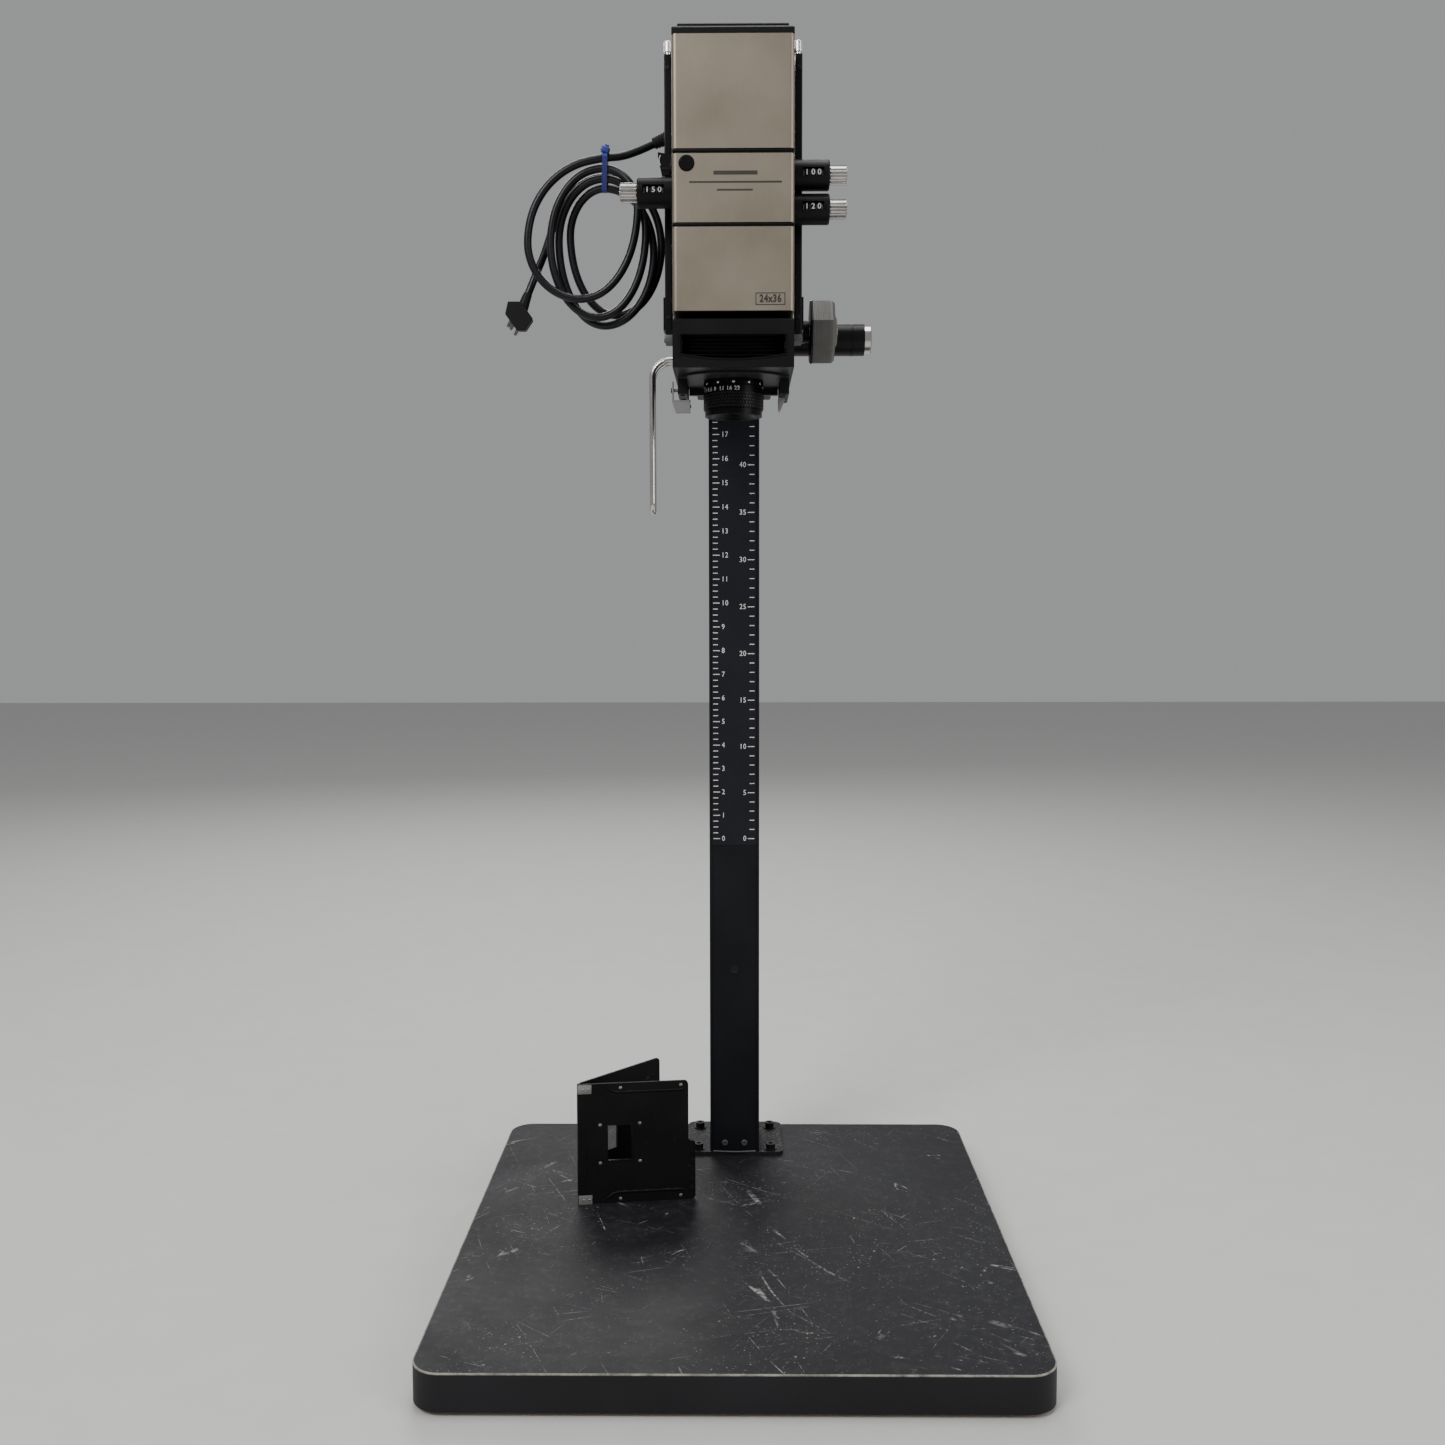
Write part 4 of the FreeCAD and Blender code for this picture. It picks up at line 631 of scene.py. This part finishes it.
# ---------------------------------------------------------------- column
def column_marks():
    """Inch scale on the left and centimetre scale on the right, zero a little above the strip's foot."""
    bm = bmesh.new()
    y, zero, top, height = 177.37, 387.7, 1126.0, 6.7
    tall = Matrix.Scale(1.16, 4, (0, 1, 0))
    front, back = y - 0.05, y + 0.05

    def tick(x0, x1, z):
        add_box(bm, (x0, front, z - 0.45), (x1, back, z + 0.45))
    for quarter in range(int((top - zero) / 6.35) + 1):
        z = zero + quarter * 6.35
        whole = quarter % 4 == 0
        tick(-22.6, -15.4 if whole else -17.4, z)
        if whole:
            add_glyphs(bm, str(quarter // 4), height, facing_front(-13.4, y, z) @ tall, "LEFT", bold=0.05)
    for centimetre in range(int((top - zero) / 10.0) + 1):
        z = zero + centimetre * 10.0
        five = centimetre % 5 == 0
        tick(14.6 if five else 16.5, 21.7, z)
        if five:
            add_glyphs(bm, str(centimetre), height, facing_front(12.9, y, z) @ tall, "RIGHT", bold=0.05)
    add_mesh("column_scale_marks", bm, INK_WHITE, "stand", 0)


def screw_profile(radius, height, socket=0.45):
    return [(radius, 0), (radius, height - 0.25 * radius), (radius * 0.9, height - 0.06 * radius),
            (radius * 0.8, height), (radius * socket, height), (radius * socket * 0.92, height * 0.4),
            (0, height * 0.4)]


def column_fittings():
    bm = bmesh.new()
    # Screw heads in trim grey, lighter than their dark steel: a painted highlight.
    for x in (-10.7, 10.7):
        add_lathe(bm, screw_profile(3.4, 1.6, 0.42), (x, 178.3, 49.5), (0, -1, 0), 32)
    add_mesh("column_screws_painted_highlight", bm, TRIM_GREY, "stand", 30)
    bm = bmesh.new()
    add_lathe(bm, [(4.3, 0), (4.3, 0.5), (3.6, 0.9), (3.1, 0.6), (1.2, 0.4), (0, 0.4)], (0, 178.3, 243.0),
              (0, -1, 0), 36)
    add_mesh("column_hole_plug", bm, MATS["black_rubber"], "stand", 40)
    # Curved lip at the foot in trim grey, lighter than the black foot: a painted highlight along its edge.
    bm = bmesh.new()
    path = [(-23 + 46 * i / 24, 176.6 - 2.4 * math.sin(math.pi * i / 24), 40.6) for i in range(25)]
    add_sweep(bm, path, [0.9] * len(path), 10)
    add_mesh("foot_lip_painted_highlight", bm, TRIM_GREY, "stand", 50)


# ---------------------------------------------------------------- lamphouse
def cover_print():
    """Plain rules where a maker's lettering would be, and the film format in its box."""
    bm = bmesh.new()
    y = -85.04
    ink = 0.04
    for x0, x1, z, half in ((-17.0, 21.0, 1010.0, 1.7), (-38.0, 42.0, 1002.2, 0.8),
                            (-14.0, 17.0, 995.6, 0.8)):
        add_box(bm, (x0, y - ink, z - half), (x1, y + ink, z + half), 0.03, 1)
    left, right, low, high, line = 19.3, 45.2, 898.0, 908.6, 0.8
    inner_low, inner_high = low + line, high - line
    for x0, z0, x1, z1 in ((left, low, right, inner_low), (left, inner_high, right, high),
                           (left, inner_low, left + line, inner_high),
                           (right - line, inner_low, right, inner_high)):
        add_box(bm, (x0, y - ink, z0), (x1, y + ink, z1))
    place = facing_front((left + right) / 2, y, (low + high) / 2) @ Matrix.Scale(0.76, 4, (1, 0, 0))
    add_glyphs(bm, "24x36", 8.9, place, "CENTER", 0.08, 0.42)
    add_mesh("cover_print", bm, INK_DARK, "lamphouse", 0)


# Body, side of the lamphouse, height of its axis, number shown.
COUNTERS = (("dial_left", -1, 1003.8, "150"), ("dial_upper_right", 1, 1018.3, "100"),
            ("dial_lower_right", 1, 988.9, "120"))
DIAL_Y = -48.0


def counter_digits():
    """Three number wheels in each counter housing; the dialled value faces the front."""
    radius, pitch, middle = 10.3, 5.5, 70.5
    for body, side, z, shown in COUNTERS:
        wheels, digits = bmesh.new(), bmesh.new()
        for place in range(3):
            x = side * middle + (place - 1) * pitch
            add_lathe(wheels, [(8.0, -2.7), (radius - 0.3, -2.7), (radius, -2.4), (radius, 2.4),
                               (radius - 0.3, 2.7), (8.0, 2.7)], (x, DIAL_Y, z), (1, 0, 0), 60)
            for number in range(10):
                turn = math.radians(36.0 * (number - int(shown[place])))
                matrix = (Matrix.Translation(Vector((x, DIAL_Y, z)) * MM) @ Matrix.Rotation(-turn, 4, "X")
                          @ Matrix.Translation((0, -(radius + 0.04) * MM, 0))
                          @ Matrix.Rotation(math.pi / 2, 4, "X"))
                add_glyphs(digits, str(number), 6.8, matrix, "CENTER", 0.12, 0.12)
        for end in (-1, 1):
            add_lathe(wheels, [(7.0, -0.35), (radius - 0.1, -0.35), (radius - 0.1, 0.35), (7.0, 0.35)],
                      (side * middle + end * (1.5 * pitch + 0.5), DIAL_Y, z), (1, 0, 0), 60)
        add_mesh(body + "_wheels", wheels, MATS["housing_black"], body, 30)
        add_mesh(body + "_digits", digits, INK_WHITE, body, 0)


def dial_ends():
    """Turned face and centre screw on the outer end of each dial, and a collar against its housing."""
    for body, side, z in [row[:3] for row in COUNTERS]:
        bm = bmesh.new()
        add_lathe(bm, [(6.6, 0), (6.6, 0.35), (5.9, 0.5), (5.2, 0.2), (2.6, 0.2), (2.4, 0.9), (1.9, 1.1),
                       (0, 1.1)], (side * 100.15, DIAL_Y, z), (side, 0, 0), 40)
        add_mesh(body + "_end", bm, MATS["knob_black_chrome"], body, 30)
        bm = bmesh.new()
        add_lathe(bm, [(3.4, 0), (6.4, 0), (6.4, 0.35), (3.4, 0.35)], (side * 85.22, DIAL_Y, z),
                  (side, 0, 0), 40)
        add_mesh(body + "_washer", bm, MATS["steel"], "lamphouse", 30)


def lamphouse_trim():
    bm = bmesh.new()
    path = []
    for i in range(13):
        a = math.radians(-35 + 70 * i / 12)
        path.append((-58.1 - 7.6 * math.cos(a), -50.15, 1031.4 + 7.6 * math.sin(a)))
    add_sweep(bm, path, [0.42] * len(path), 8)
    add_mesh("lever_mark", bm, INK_WHITE, "white_light_lever", 50)
    bm = bmesh.new()
    add_lathe(bm, [(6.9, 0), (6.9, 0.45), (6.55, 0.55), (6.45, 0)], (-40.3, -85.0, 1018.2), (0, -1, 0), 44)
    add_mesh("button_ring", bm, MATS["housing_black"], "lamphouse", 30)
    bm = bmesh.new()
    for z in (1029.3, 967.1):
        add_box(bm, (-51.6, -84.3, z - 0.8), (51.6, -83.2, z + 0.8), 0.35, 2)
        for side in (-1, 1):
            add_box(bm, (side * 51.9 - 0.5, -82.8, z - 0.8), (side * 51.9 + 0.5, -26.0, z + 0.8), 0.35, 2)
    add_mesh("module_joint_beads", bm, MATS["frame_black"], "lamphouse", 40)
    bm = bmesh.new()
    for x in (-40.0, 40.0):
        for z in (1120.0, 1035.0, 975.0, 903.0):
            add_lathe(bm, screw_profile(2.6, 1.2), (x, 40.0, z), (0, 1, 0), 28)
    for side in (-1, 1):
        for z in (1115.0, 1045.0, 950.0, 905.0):
            add_lathe(bm, screw_profile(2.2, 0.9), (side * 53.0, -74.0, z), (side, 0, 0), 24)
    add_mesh("case_screws", bm, MATS["bolt_black"], "lamphouse", 30)


# ---------------------------------------------------------------- carriage
GRIP_Y, GRIP_Z = 117.0, 905.6


def carriage_fittings():
    bm = bmesh.new()
    for side in (-1, 1):
        for z in (881.0, 1045.0):
            add_lathe(bm, screw_profile(4.0, 2.2), (side * 40.0, 208.0, z), (side, 0, 0), 32)
        for z in (881.0, 1045.0):
            add_lathe(bm, screw_profile(3.2, 1.8), (side * 17.0, 249.0, z), (0, 1, 0), 32)
        for y, z in ((152.0, 885.0), (152.0, 975.0), (128.0, 885.0)):
            add_lathe(bm, screw_profile(3.4, 2.0), (side * 53.0, y, z), (side, 0, 0), 32)
        add_lathe(bm, screw_profile(2.4, 1.2), (side * 53.0, 76.0, 910.0), (side, 0, 0), 28)
        add_lathe(bm, screw_profile(2.4, 1.2), (side * 53.0, 76.0, 896.0), (side, 0, 0), 28)
    add_mesh("carriage_screws", bm, MATS["bolt_black"], "carriage", 30)
    bm = bmesh.new()
    add_lathe(bm, [(15.7, 0), (18.2, 0), (18.2, 2.6), (17.4, 3.4), (15.7, 3.8)], (53.0, GRIP_Y, GRIP_Z),
              (1, 0, 0), 48)
    for x in (117.5, 119.3):
        add_lathe(bm, [(15.6, 0), (15.95, 0.2), (15.95, 0.8), (15.6, 1.0)], (x, GRIP_Y, GRIP_Z),
                  (1, 0, 0), 48)
    add_mesh("grip_collars", bm, MATS["grip_black"], "carriage", 30)
    bm = bmesh.new()
    for side in (-1, 1):
        add_lathe(bm, screw_profile(2.4, 1.3), (side * 62.3, -15.0, 881.4), (side, 0, 0), 28)
        for z in (900.0, 1120.0):
            add_lathe(bm, screw_profile(1.9, 0.7), (side * 59.0, -25.0, z), (0, -1, 0), 24)
    add_mesh("post_screws", bm, MATS["bolt_black"], "carriage", 30)
    bm = bmesh.new()
    for side in (-1, 1):
        add_box(bm, (side * 57.9 - 4.9, -25.6, 877.9), (side * 57.9 + 4.9, -25.05, 884.4), 0.25, 2)
    add_mesh("post_foot_plates", bm, TRIM_GREY, "carriage", 40)


def window_frame():
    """Bevelled lip round the window of the skirt; its lower run is dished like the opening."""
    bm = bmesh.new()
    half, low, top, dish, y = 46.6, 856.4, 873.6, 4.5, -85.1
    path = [(-half, y, top), (half, y, top), (half, y, low)]
    for i in range(1, 16):
        x = half - 2 * half * i / 16
        path.append((x, y, low - dish * (1 - (x / half) ** 2)))
    path += [(-half, y, low), (-half, y, top)]
    rows = []
    centre = Vector((0, 0, (low + top) / 2))
    for i in range(len(path) - 1):
        here = Vector(path[i])
        inward = Vector((-math.copysign(1, here.x) if abs(here.x) > half - 0.01 else 0, 0,
                         (1 if here.z < centre.z else -1)))
        rows.append([bm.verts.new((here - inward * 0.7 + Vector((0, 0.1, 0))) * MM),
                     bm.verts.new((here - inward * 0.5 + Vector((0, -0.7, 0))) * MM),
                     bm.verts.new((here + inward * 0.3 + Vector((0, -0.7, 0))) * MM),
                     bm.verts.new((here + inward * 1.0 + Vector((0, 1.2, 0))) * MM)])
    for i in range(len(rows)):
        a, b = rows[i], rows[(i + 1) % len(rows)]
        for k in range(3):
            bm.faces.new((a[k], a[k + 1], b[k + 1], b[k]))
        bm.faces.new((a[3], a[0], b[0], b[3]))
    add_mesh("skirt_window_lip", bm, MATS["frame_black"], "carriage", 30)


def pleated_bellows():
    """Folded cloth box: each fold's ridge and valley has its own slack and its mitred corners."""
    bm = bmesh.new()
    folds, bottom, top = 8, 848.4, 876.2
    rows = []
    for i in range(folds * 2 + 1):
        z = bottom + (top - bottom) * i / (folds * 2)
        out = 0.0 if i % 2 else -4.2
        half_x, y0, y1, cut = 45.3 + out, -76.5 - out, 35.0 + out, 5.0
        ring = []
        corners = [(-half_x, y0), (half_x, y0), (half_x, y1), (-half_x, y1)]
        for c in range(4):
            a, b = Vector(corners[c]), Vector(corners[(c + 1) % 4])
            run = (b - a).normalized()
            inward = Vector((-run.y, run.x))
            for s in range(9):
                t = s / 8
                base = (a + run * cut).lerp(b - run * cut, t)
                sag = math.sin(math.pi * t) * (1.1 if i % 2 == 0 else 0.5)
                ripple = 0.25 * math.sin(9 * t + i * 1.7 + c)
                ring.append(bm.verts.new(Vector((base.x + inward.x * (sag * 0.4 + ripple),
                                                 base.y + inward.y * (sag * 0.4 + ripple),
                                                 z - sag * 0.5 * (1 - abs(2 * i / (folds * 2) - 1)))) * MM))
        rows.append(ring)
    for low, high in zip(rows, rows[1:]):
        for k in range(len(low)):
            j = (k + 1) % len(low)
            bm.faces.new((low[k], low[j], high[j], high[k]))
    bmesh.ops.recalc_face_normals(bm, faces=bm.faces)
    bmesh.ops.solidify(bm, geom=bm.faces[:], thickness=0.5 * MM)
    piece = add_mesh("bellows_folds", bm, MATS["bellows_black"], None, 20)
    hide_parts("bellows")
    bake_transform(piece)


# ---------------------------------------------------------------- focus knob and lens
KNOB_Y, KNOB_Z = 60.0, 903.0


def knob_skin(bm, sections):
    """Eight-sided skin through (radius, x) sections of the knob; gives the first section's corners."""
    corners = [math.radians(180 - 9.5 + 45 * i) for i in range(8)]
    rings = [[bm.verts.new(Vector((x, KNOB_Y + radius * math.cos(a), KNOB_Z + radius * math.sin(a))) * MM)
              for a in corners] for radius, x in sections]
    for low, high in zip(rings, rings[1:]):
        for i in range(8):
            j = (i + 1) % 8
            bm.faces.new((low[i], low[j], high[j], high[i]))
    return rings[0]


def knob_ribs():
    """Fine ribs round the eight flats, and the black rim plate on the inner side, whose closed black face is
    painted shade for the knob's shadowed hollow.
    """
    bm = bmesh.new()
    low, high, x, end, pitch = 30.8, 31.6, 77.0, 93.2, 1.65
    while x < end:
        knob_skin(bm, [(low, x), (high, x + 0.15), (high, x + 0.6), (low, x + 0.75)])
        x += pitch
    add_mesh("focus_knob_ribs", bm, MATS["knob_grey"], "focus_knob", 15)
    # Black rim plate with a closed face: painted shade for the knob's shadowed inner hollow.
    bm = bmesh.new()
    edge = knob_skin(bm, [(29.0, 73.6), (31.6, 73.9), (31.9, 74.4), (31.9, 75.4), (31.3, 75.9)])
    bm.faces.new(list(reversed(edge)))
    add_mesh("focus_knob_rim_painted_shade", bm, MATS["grip_black"], "focus_knob", 15)
    bm = bmesh.new()
    add_lathe(bm, [(13.4, 0), (12.6, 0.5), (8.0, 0.9), (7.8, 0.5), (3.2, 0.5), (3.0, 1.6), (0, 1.6)],
              (99.2, KNOB_Y, KNOB_Z), (1, 0, 0), 48)
    add_mesh("focus_knob_cap", bm, TRIM_LIGHT, "focus_knob", 30)


LENS_Y = -13.0


def around_lens(turn_deg, radius, z):
    """Faces outwards on a ring about the optical axis, turned from the front towards +X."""
    return (Matrix.Translation(Vector((0, LENS_Y, z)) * MM) @ Matrix.Rotation(math.radians(turn_deg), 4, "Z")
            @ Matrix.Translation((0, -radius * MM, 0)) @ Matrix.Rotation(math.pi / 2, 4, "X"))


def lens_details():
    bm = bmesh.new()
    for i, stop in enumerate(("22", "16", "11", "8", "5.6", "4", "2.8")):
        turn = 7.0 - 15.5 * i
        add_glyphs(bm, stop, 4.9, around_lens(turn, 26.35, 834.3), "CENTER", 0.1, 0.12)
        add_box(bm, (-0.25, -0.45, -0.05), (0.25, 0.45, 0.05), 0, 1, around_lens(turn, 26.35, 832.9))
    add_mesh("aperture_numbers", bm, INK_WHITE, "aperture_ring", 0)
    bm = bmesh.new()
    for turn in (-62.0, -31.0, 0.0, 31.0, 62.0, 180.0):
        centre = around_lens(turn, 27.5, 840.4).translation / MM
        out = (math.sin(math.radians(turn)), -math.cos(math.radians(turn)), 0)
        add_lathe(bm, [(1.35, -0.3), (1.35, 0.25), (1.0, 0.6), (0.5, 0.75), (0, 0.8)], centre, out, 20)
    add_mesh("lens_index_pins", bm, MATS["chrome"], "lens_stage", 40)
    # Knurl pads lighter than the black ring: a painted highlight that shows their light and dark rows.
    bm = bmesh.new()
    pads, inner, outer = 64, 27.0, 27.7
    for row in range(5):
        z = 818.4 + row * 2.75
        for k in range(pads):
            a = 360.0 * (k + 0.5 * (row % 2)) / pads
            place = around_lens(a, inner, z + 1.0)
            add_box(bm, (-0.92, -0.95, -0.2), (0.92, 0.95, outer - inner), 0.22, 1, place)
    add_mesh("aperture_grip_pads_painted_highlight", bm, MATS["bolt_black"], "aperture_ring", 20)
    bm = bmesh.new()
    add_lathe(bm, [(21.9, 0.2), (20.4, 1.4), (20.6, 1.7), (19.0, 2.7), (19.2, 3.0), (17.6, 4.0), (17.8, 4.3),
                   (15.3, 5.6)], (0, LENS_Y, 811.7), (0, 0, 1), 72)
    add_mesh("lens_front_baffle", bm, MATS["lens_black"], "lens_stage", 20)


def stage_details():
    bm = bmesh.new()
    add_lathe(bm, [(55.6, 0), (56.3, 0.2), (56.3, 0.9), (55.6, 1.1)], (0, -15.0, 843.0), (0, 0, 1), 120)
    cut = [v for v in bm.verts if abs(v.co.x) > 50.2 * MM or v.co.y > 24.5 * MM]
    bmesh.ops.delete(bm, geom=cut, context="VERTS")
    add_mesh("lens_board_rim", bm, MATS["frame_black"], "lens_stage", 40)
    bm = bmesh.new()
    for side in (-1, 1):
        for y in (-26.0, 0.0, 18.0):
            add_lathe(bm, screw_profile(2.2, 1.0), (side * 46.5, y, 830.0), (0, 0, -1), 24)
    add_mesh("clamp_screws", bm, MATS["bolt_black"], "lens_stage", 30)
    bm = bmesh.new()
    for x, z in ((-40.2, 824.1), (-39.6, 819.5)):
        add_lathe(bm, screw_profile(1.5, 0.9), (x, -27.0, z), (1, 0, 0), 24)
    add_lathe(bm, screw_profile(2.6, 1.1), (-56.0, -27.0, 834.0), (-1, 0, 0), 28)
    add_mesh("latch_screws", bm, MATS["bolt_black"], "board_latch", 30)


def clamp_tab_face():
    """Bright sheet over the pointed tab below the right rail."""
    bm = bmesh.new()
    outline = [(41.3, 829.9), (47.9, 829.9), (43.4, 818.2), (41.6, 818.2)]
    rings = [[bm.verts.new(Vector((x, y, z)) * MM) for x, z in outline] for y in (-10.5, 4.4)]
    for i in range(4):
        j = (i + 1) % 4
        bm.faces.new((rings[0][i], rings[0][j], rings[1][j], rings[1][i]))
    bm.faces.new(list(reversed(rings[0])))
    bm.faces.new(rings[1])
    bmesh.ops.bevel(bm, geom=bm.edges[:], offset=0.25 * MM, segments=2, affect="EDGES")
    add_mesh("clamp_tab_sheet", bm, TRIM_LIGHT, "lens_stage", 30)


def lever_details():
    bm = bmesh.new()
    add_lathe(bm, [(9.5, 0), (9.5, 1.0), (8.8, 1.6), (3.0, 1.6), (2.6, 2.6), (0, 2.6)], (-55.0, 60.0, 875.0),
              (-1, 0, 0), 44)
    add_mesh("lift_hub_boss", bm, MATS["frame_black"], "lift_lever", 30)
    bm = bmesh.new()
    for y in (52.0, 68.0):
        add_lathe(bm, [(2.9, 0), (4.2, 0), (4.2, 1.0), (3.6, 1.6), (2.9, 1.8)], (-55.2, y, 875.0),
                  (-1, 0, 0), 28)
    add_mesh("bail_collars", bm, MATS["chrome"], "lift_lever", 40)


# ---------------------------------------------------------------- negative carrier
HINGE = (-156.0, 47.3)


def on_leaf(turn_deg):
    """Places a shape drawn from the hinge axis onto a leaf that stands at this angle."""
    return Matrix.Translation(Vector((*HINGE, 0)) * MM) @ Matrix.Rotation(math.radians(turn_deg), 4, "Z")


def leaf_piece(name, build, material, body, turn_deg):
    bm = bmesh.new()
    build(bm)
    bmesh.ops.transform(bm, matrix=on_leaf(turn_deg), verts=bm.verts)
    return add_mesh(name, bm, material, body, 40)


def ribs(face_y, out, reach):
    """Pressed rails near the top and the bottom edge, splayed towards the hinge, and the window's rim."""
    def build(bm):
        for z, splay in ((150.6, 8.0), (47.2, -8.0)):
            path = [(reach + 3.0, face_y, z + splay * 0.35), (reach, face_y, z), (38.0, face_y, z),
                    (34.0, face_y, z + splay * 0.12), (24.0, face_y, z + splay)]
            add_sweep(bm, path, [0.5, 1.2, 1.2, 1.2, 0.4], 12)
        frame_w, half_w, half_h, middle_x, middle_z = 1.0, 12.0, 18.0, 40.5, 98.6
        x0, x1, z0, z1 = middle_x - half_w, middle_x + half_w, middle_z - half_h, middle_z + half_h
        for lo, hi in (((x0 - frame_w, z0 - frame_w), (x1 + frame_w, z0)),
                       ((x0 - frame_w, z1), (x1 + frame_w, z1 + frame_w)),
                       ((x0 - frame_w, z0), (x0, z1)), ((x1, z0), (x1 + frame_w, z1))):
            y0, y1 = sorted((face_y, face_y + out * 0.3))
            add_box(bm, (lo[0], y0, lo[1]), (hi[0], y1, hi[1]), 0.1, 2)
    return build


def rivets(places, face_y, out, radius=1.75):
    def build(bm):
        for x, z in places:
            add_lathe(bm, [(radius, 0), (radius * 0.95, 0.3), (radius * 0.6, 0.6), (0, 0.72)], (x, face_y, z),
                      (0, out, 0), 24)
    return build


def carrier_pieces():
    front, rear = 7.6, 47.8
    spots = [(20.7, 117.4), (60.6, 117.6), (20.6, 78.0), (60.8, 78.6), (41.4, 155.0), (102.4, 155.4),
             (40.7, 40.2), (101.9, 40.6)]
    leaf_piece("carrier_front_ribs", ribs(-2.0, -1, 104.0), MATS["carrier_black"], "carrier_front", front)
    leaf_piece("carrier_front_rivets", rivets(spots, -2.0, -1), RIVET, "carrier_front", front)
    leaf_piece("carrier_rear_ribs", ribs(2.3, 1, 103.0), MATS["carrier_black"], "carrier_rear", rear)
    leaf_piece("carrier_rear_rivets", rivets(spots[:4], 2.3, 1), RIVET, "carrier_rear", rear)

    def plates(bm):
        for low in (36.2, 150.2):
            add_box(bm, (-1.6, -3.15, low), (12.2, -2.8, low + 9.4), 0.15, 2)
    leaf_piece("carrier_hinge_plates", plates, TRIM_LIGHT, "carrier_front", front)
    pins = [(x, low + 4.7) for low in (36.2, 150.2) for x in (3.6, 9.2)]
    leaf_piece("carrier_hinge_rivets", rivets(pins, -3.15, -1, 1.1), RIVET, "carrier_front", front)

    def spine(bm):
        path = [(-2.4, -0.6), (-1.7, -2.1), (0.2, -2.55), (6.5, -2.45), (6.5, -2.0), (0.6, -1.9)]
        rings = [[bm.verts.new(Vector((x, y, z)) * MM) for x, y in path] for z in (46.6, 149.4)]
        for i in range(len(path)):
            j = (i + 1) % len(path)
            bm.faces.new((rings[0][i], rings[0][j], rings[1][j], rings[1][i]))
        bm.faces.new(list(reversed(rings[0])))
        bm.faces.new(rings[1])
    leaf_piece("carrier_spine", spine, MATS["carrier_black"], "carrier_front", front)

    def tab_pad(bm):
        for i in range(5):
            add_box(bm, (112.0, -2.5, 44.0 + i * 9.6), (115.6, -2.0, 49.0 + i * 9.6), 0.22, 2)
    leaf_piece("carrier_tab_grip", tab_pad, MATS["carrier_black"], "carrier_front", front)


column_marks()
column_fittings()
cover_print()
counter_digits()
dial_ends()
lamphouse_trim()
carriage_fittings()
window_frame()
pleated_bellows()
knob_ribs()
lens_details()
stage_details()
clamp_tab_face()
lever_details()
carrier_pieces()


# ---------------------------------------------------------------- floor and light
def studio():
    bpy.ops.mesh.primitive_plane_add(size=14.0, location=(0, 1.5, 0))
    floor = bpy.context.object
    floor.name = "studio_floor"
    mat = finish_material("floor_pale", (0.60, 0.595, 0.58), (0.575, 0.57, 0.555), 0.7, grain=60.0,
                          grain_depth=0.02)
    floor.data.materials.append(mat)
    world = bpy.data.worlds.new("studio")
    bpy.context.scene.world = world
    world.use_nodes = True
    world.node_tree.nodes["Background"].inputs["Color"].default_value = (0.78, 0.79, 0.80, 1)
    world.node_tree.nodes["Background"].inputs["Strength"].default_value = 0.42
    for name, place, size, power, aim in (
            ("key", (-1.5, -2.1, 2.7), 1.3, 66.0, (0, 0, 0.6)),
            ("fill", (2.3, -1.5, 1.6), 1.6, 26.0, (0, 0, 0.8)),
            ("rim", (-0.6, 2.6, 2.5), 1.5, 42.0, (0, 0.1, 0.9)),
            ("top", (0.2, 0.2, 3.2), 1.6, 40.0, (0, 0, 0.2))):
        data = bpy.data.lights.new(name, "AREA")
        data.energy = power
        data.size = size
        light = bpy.data.objects.new(name, data)
        light.location = place
        light.rotation_euler = (Vector(aim) - Vector(place)).to_track_quat("-Z", "Y").to_euler()
        bpy.context.collection.objects.link(light)


studio()
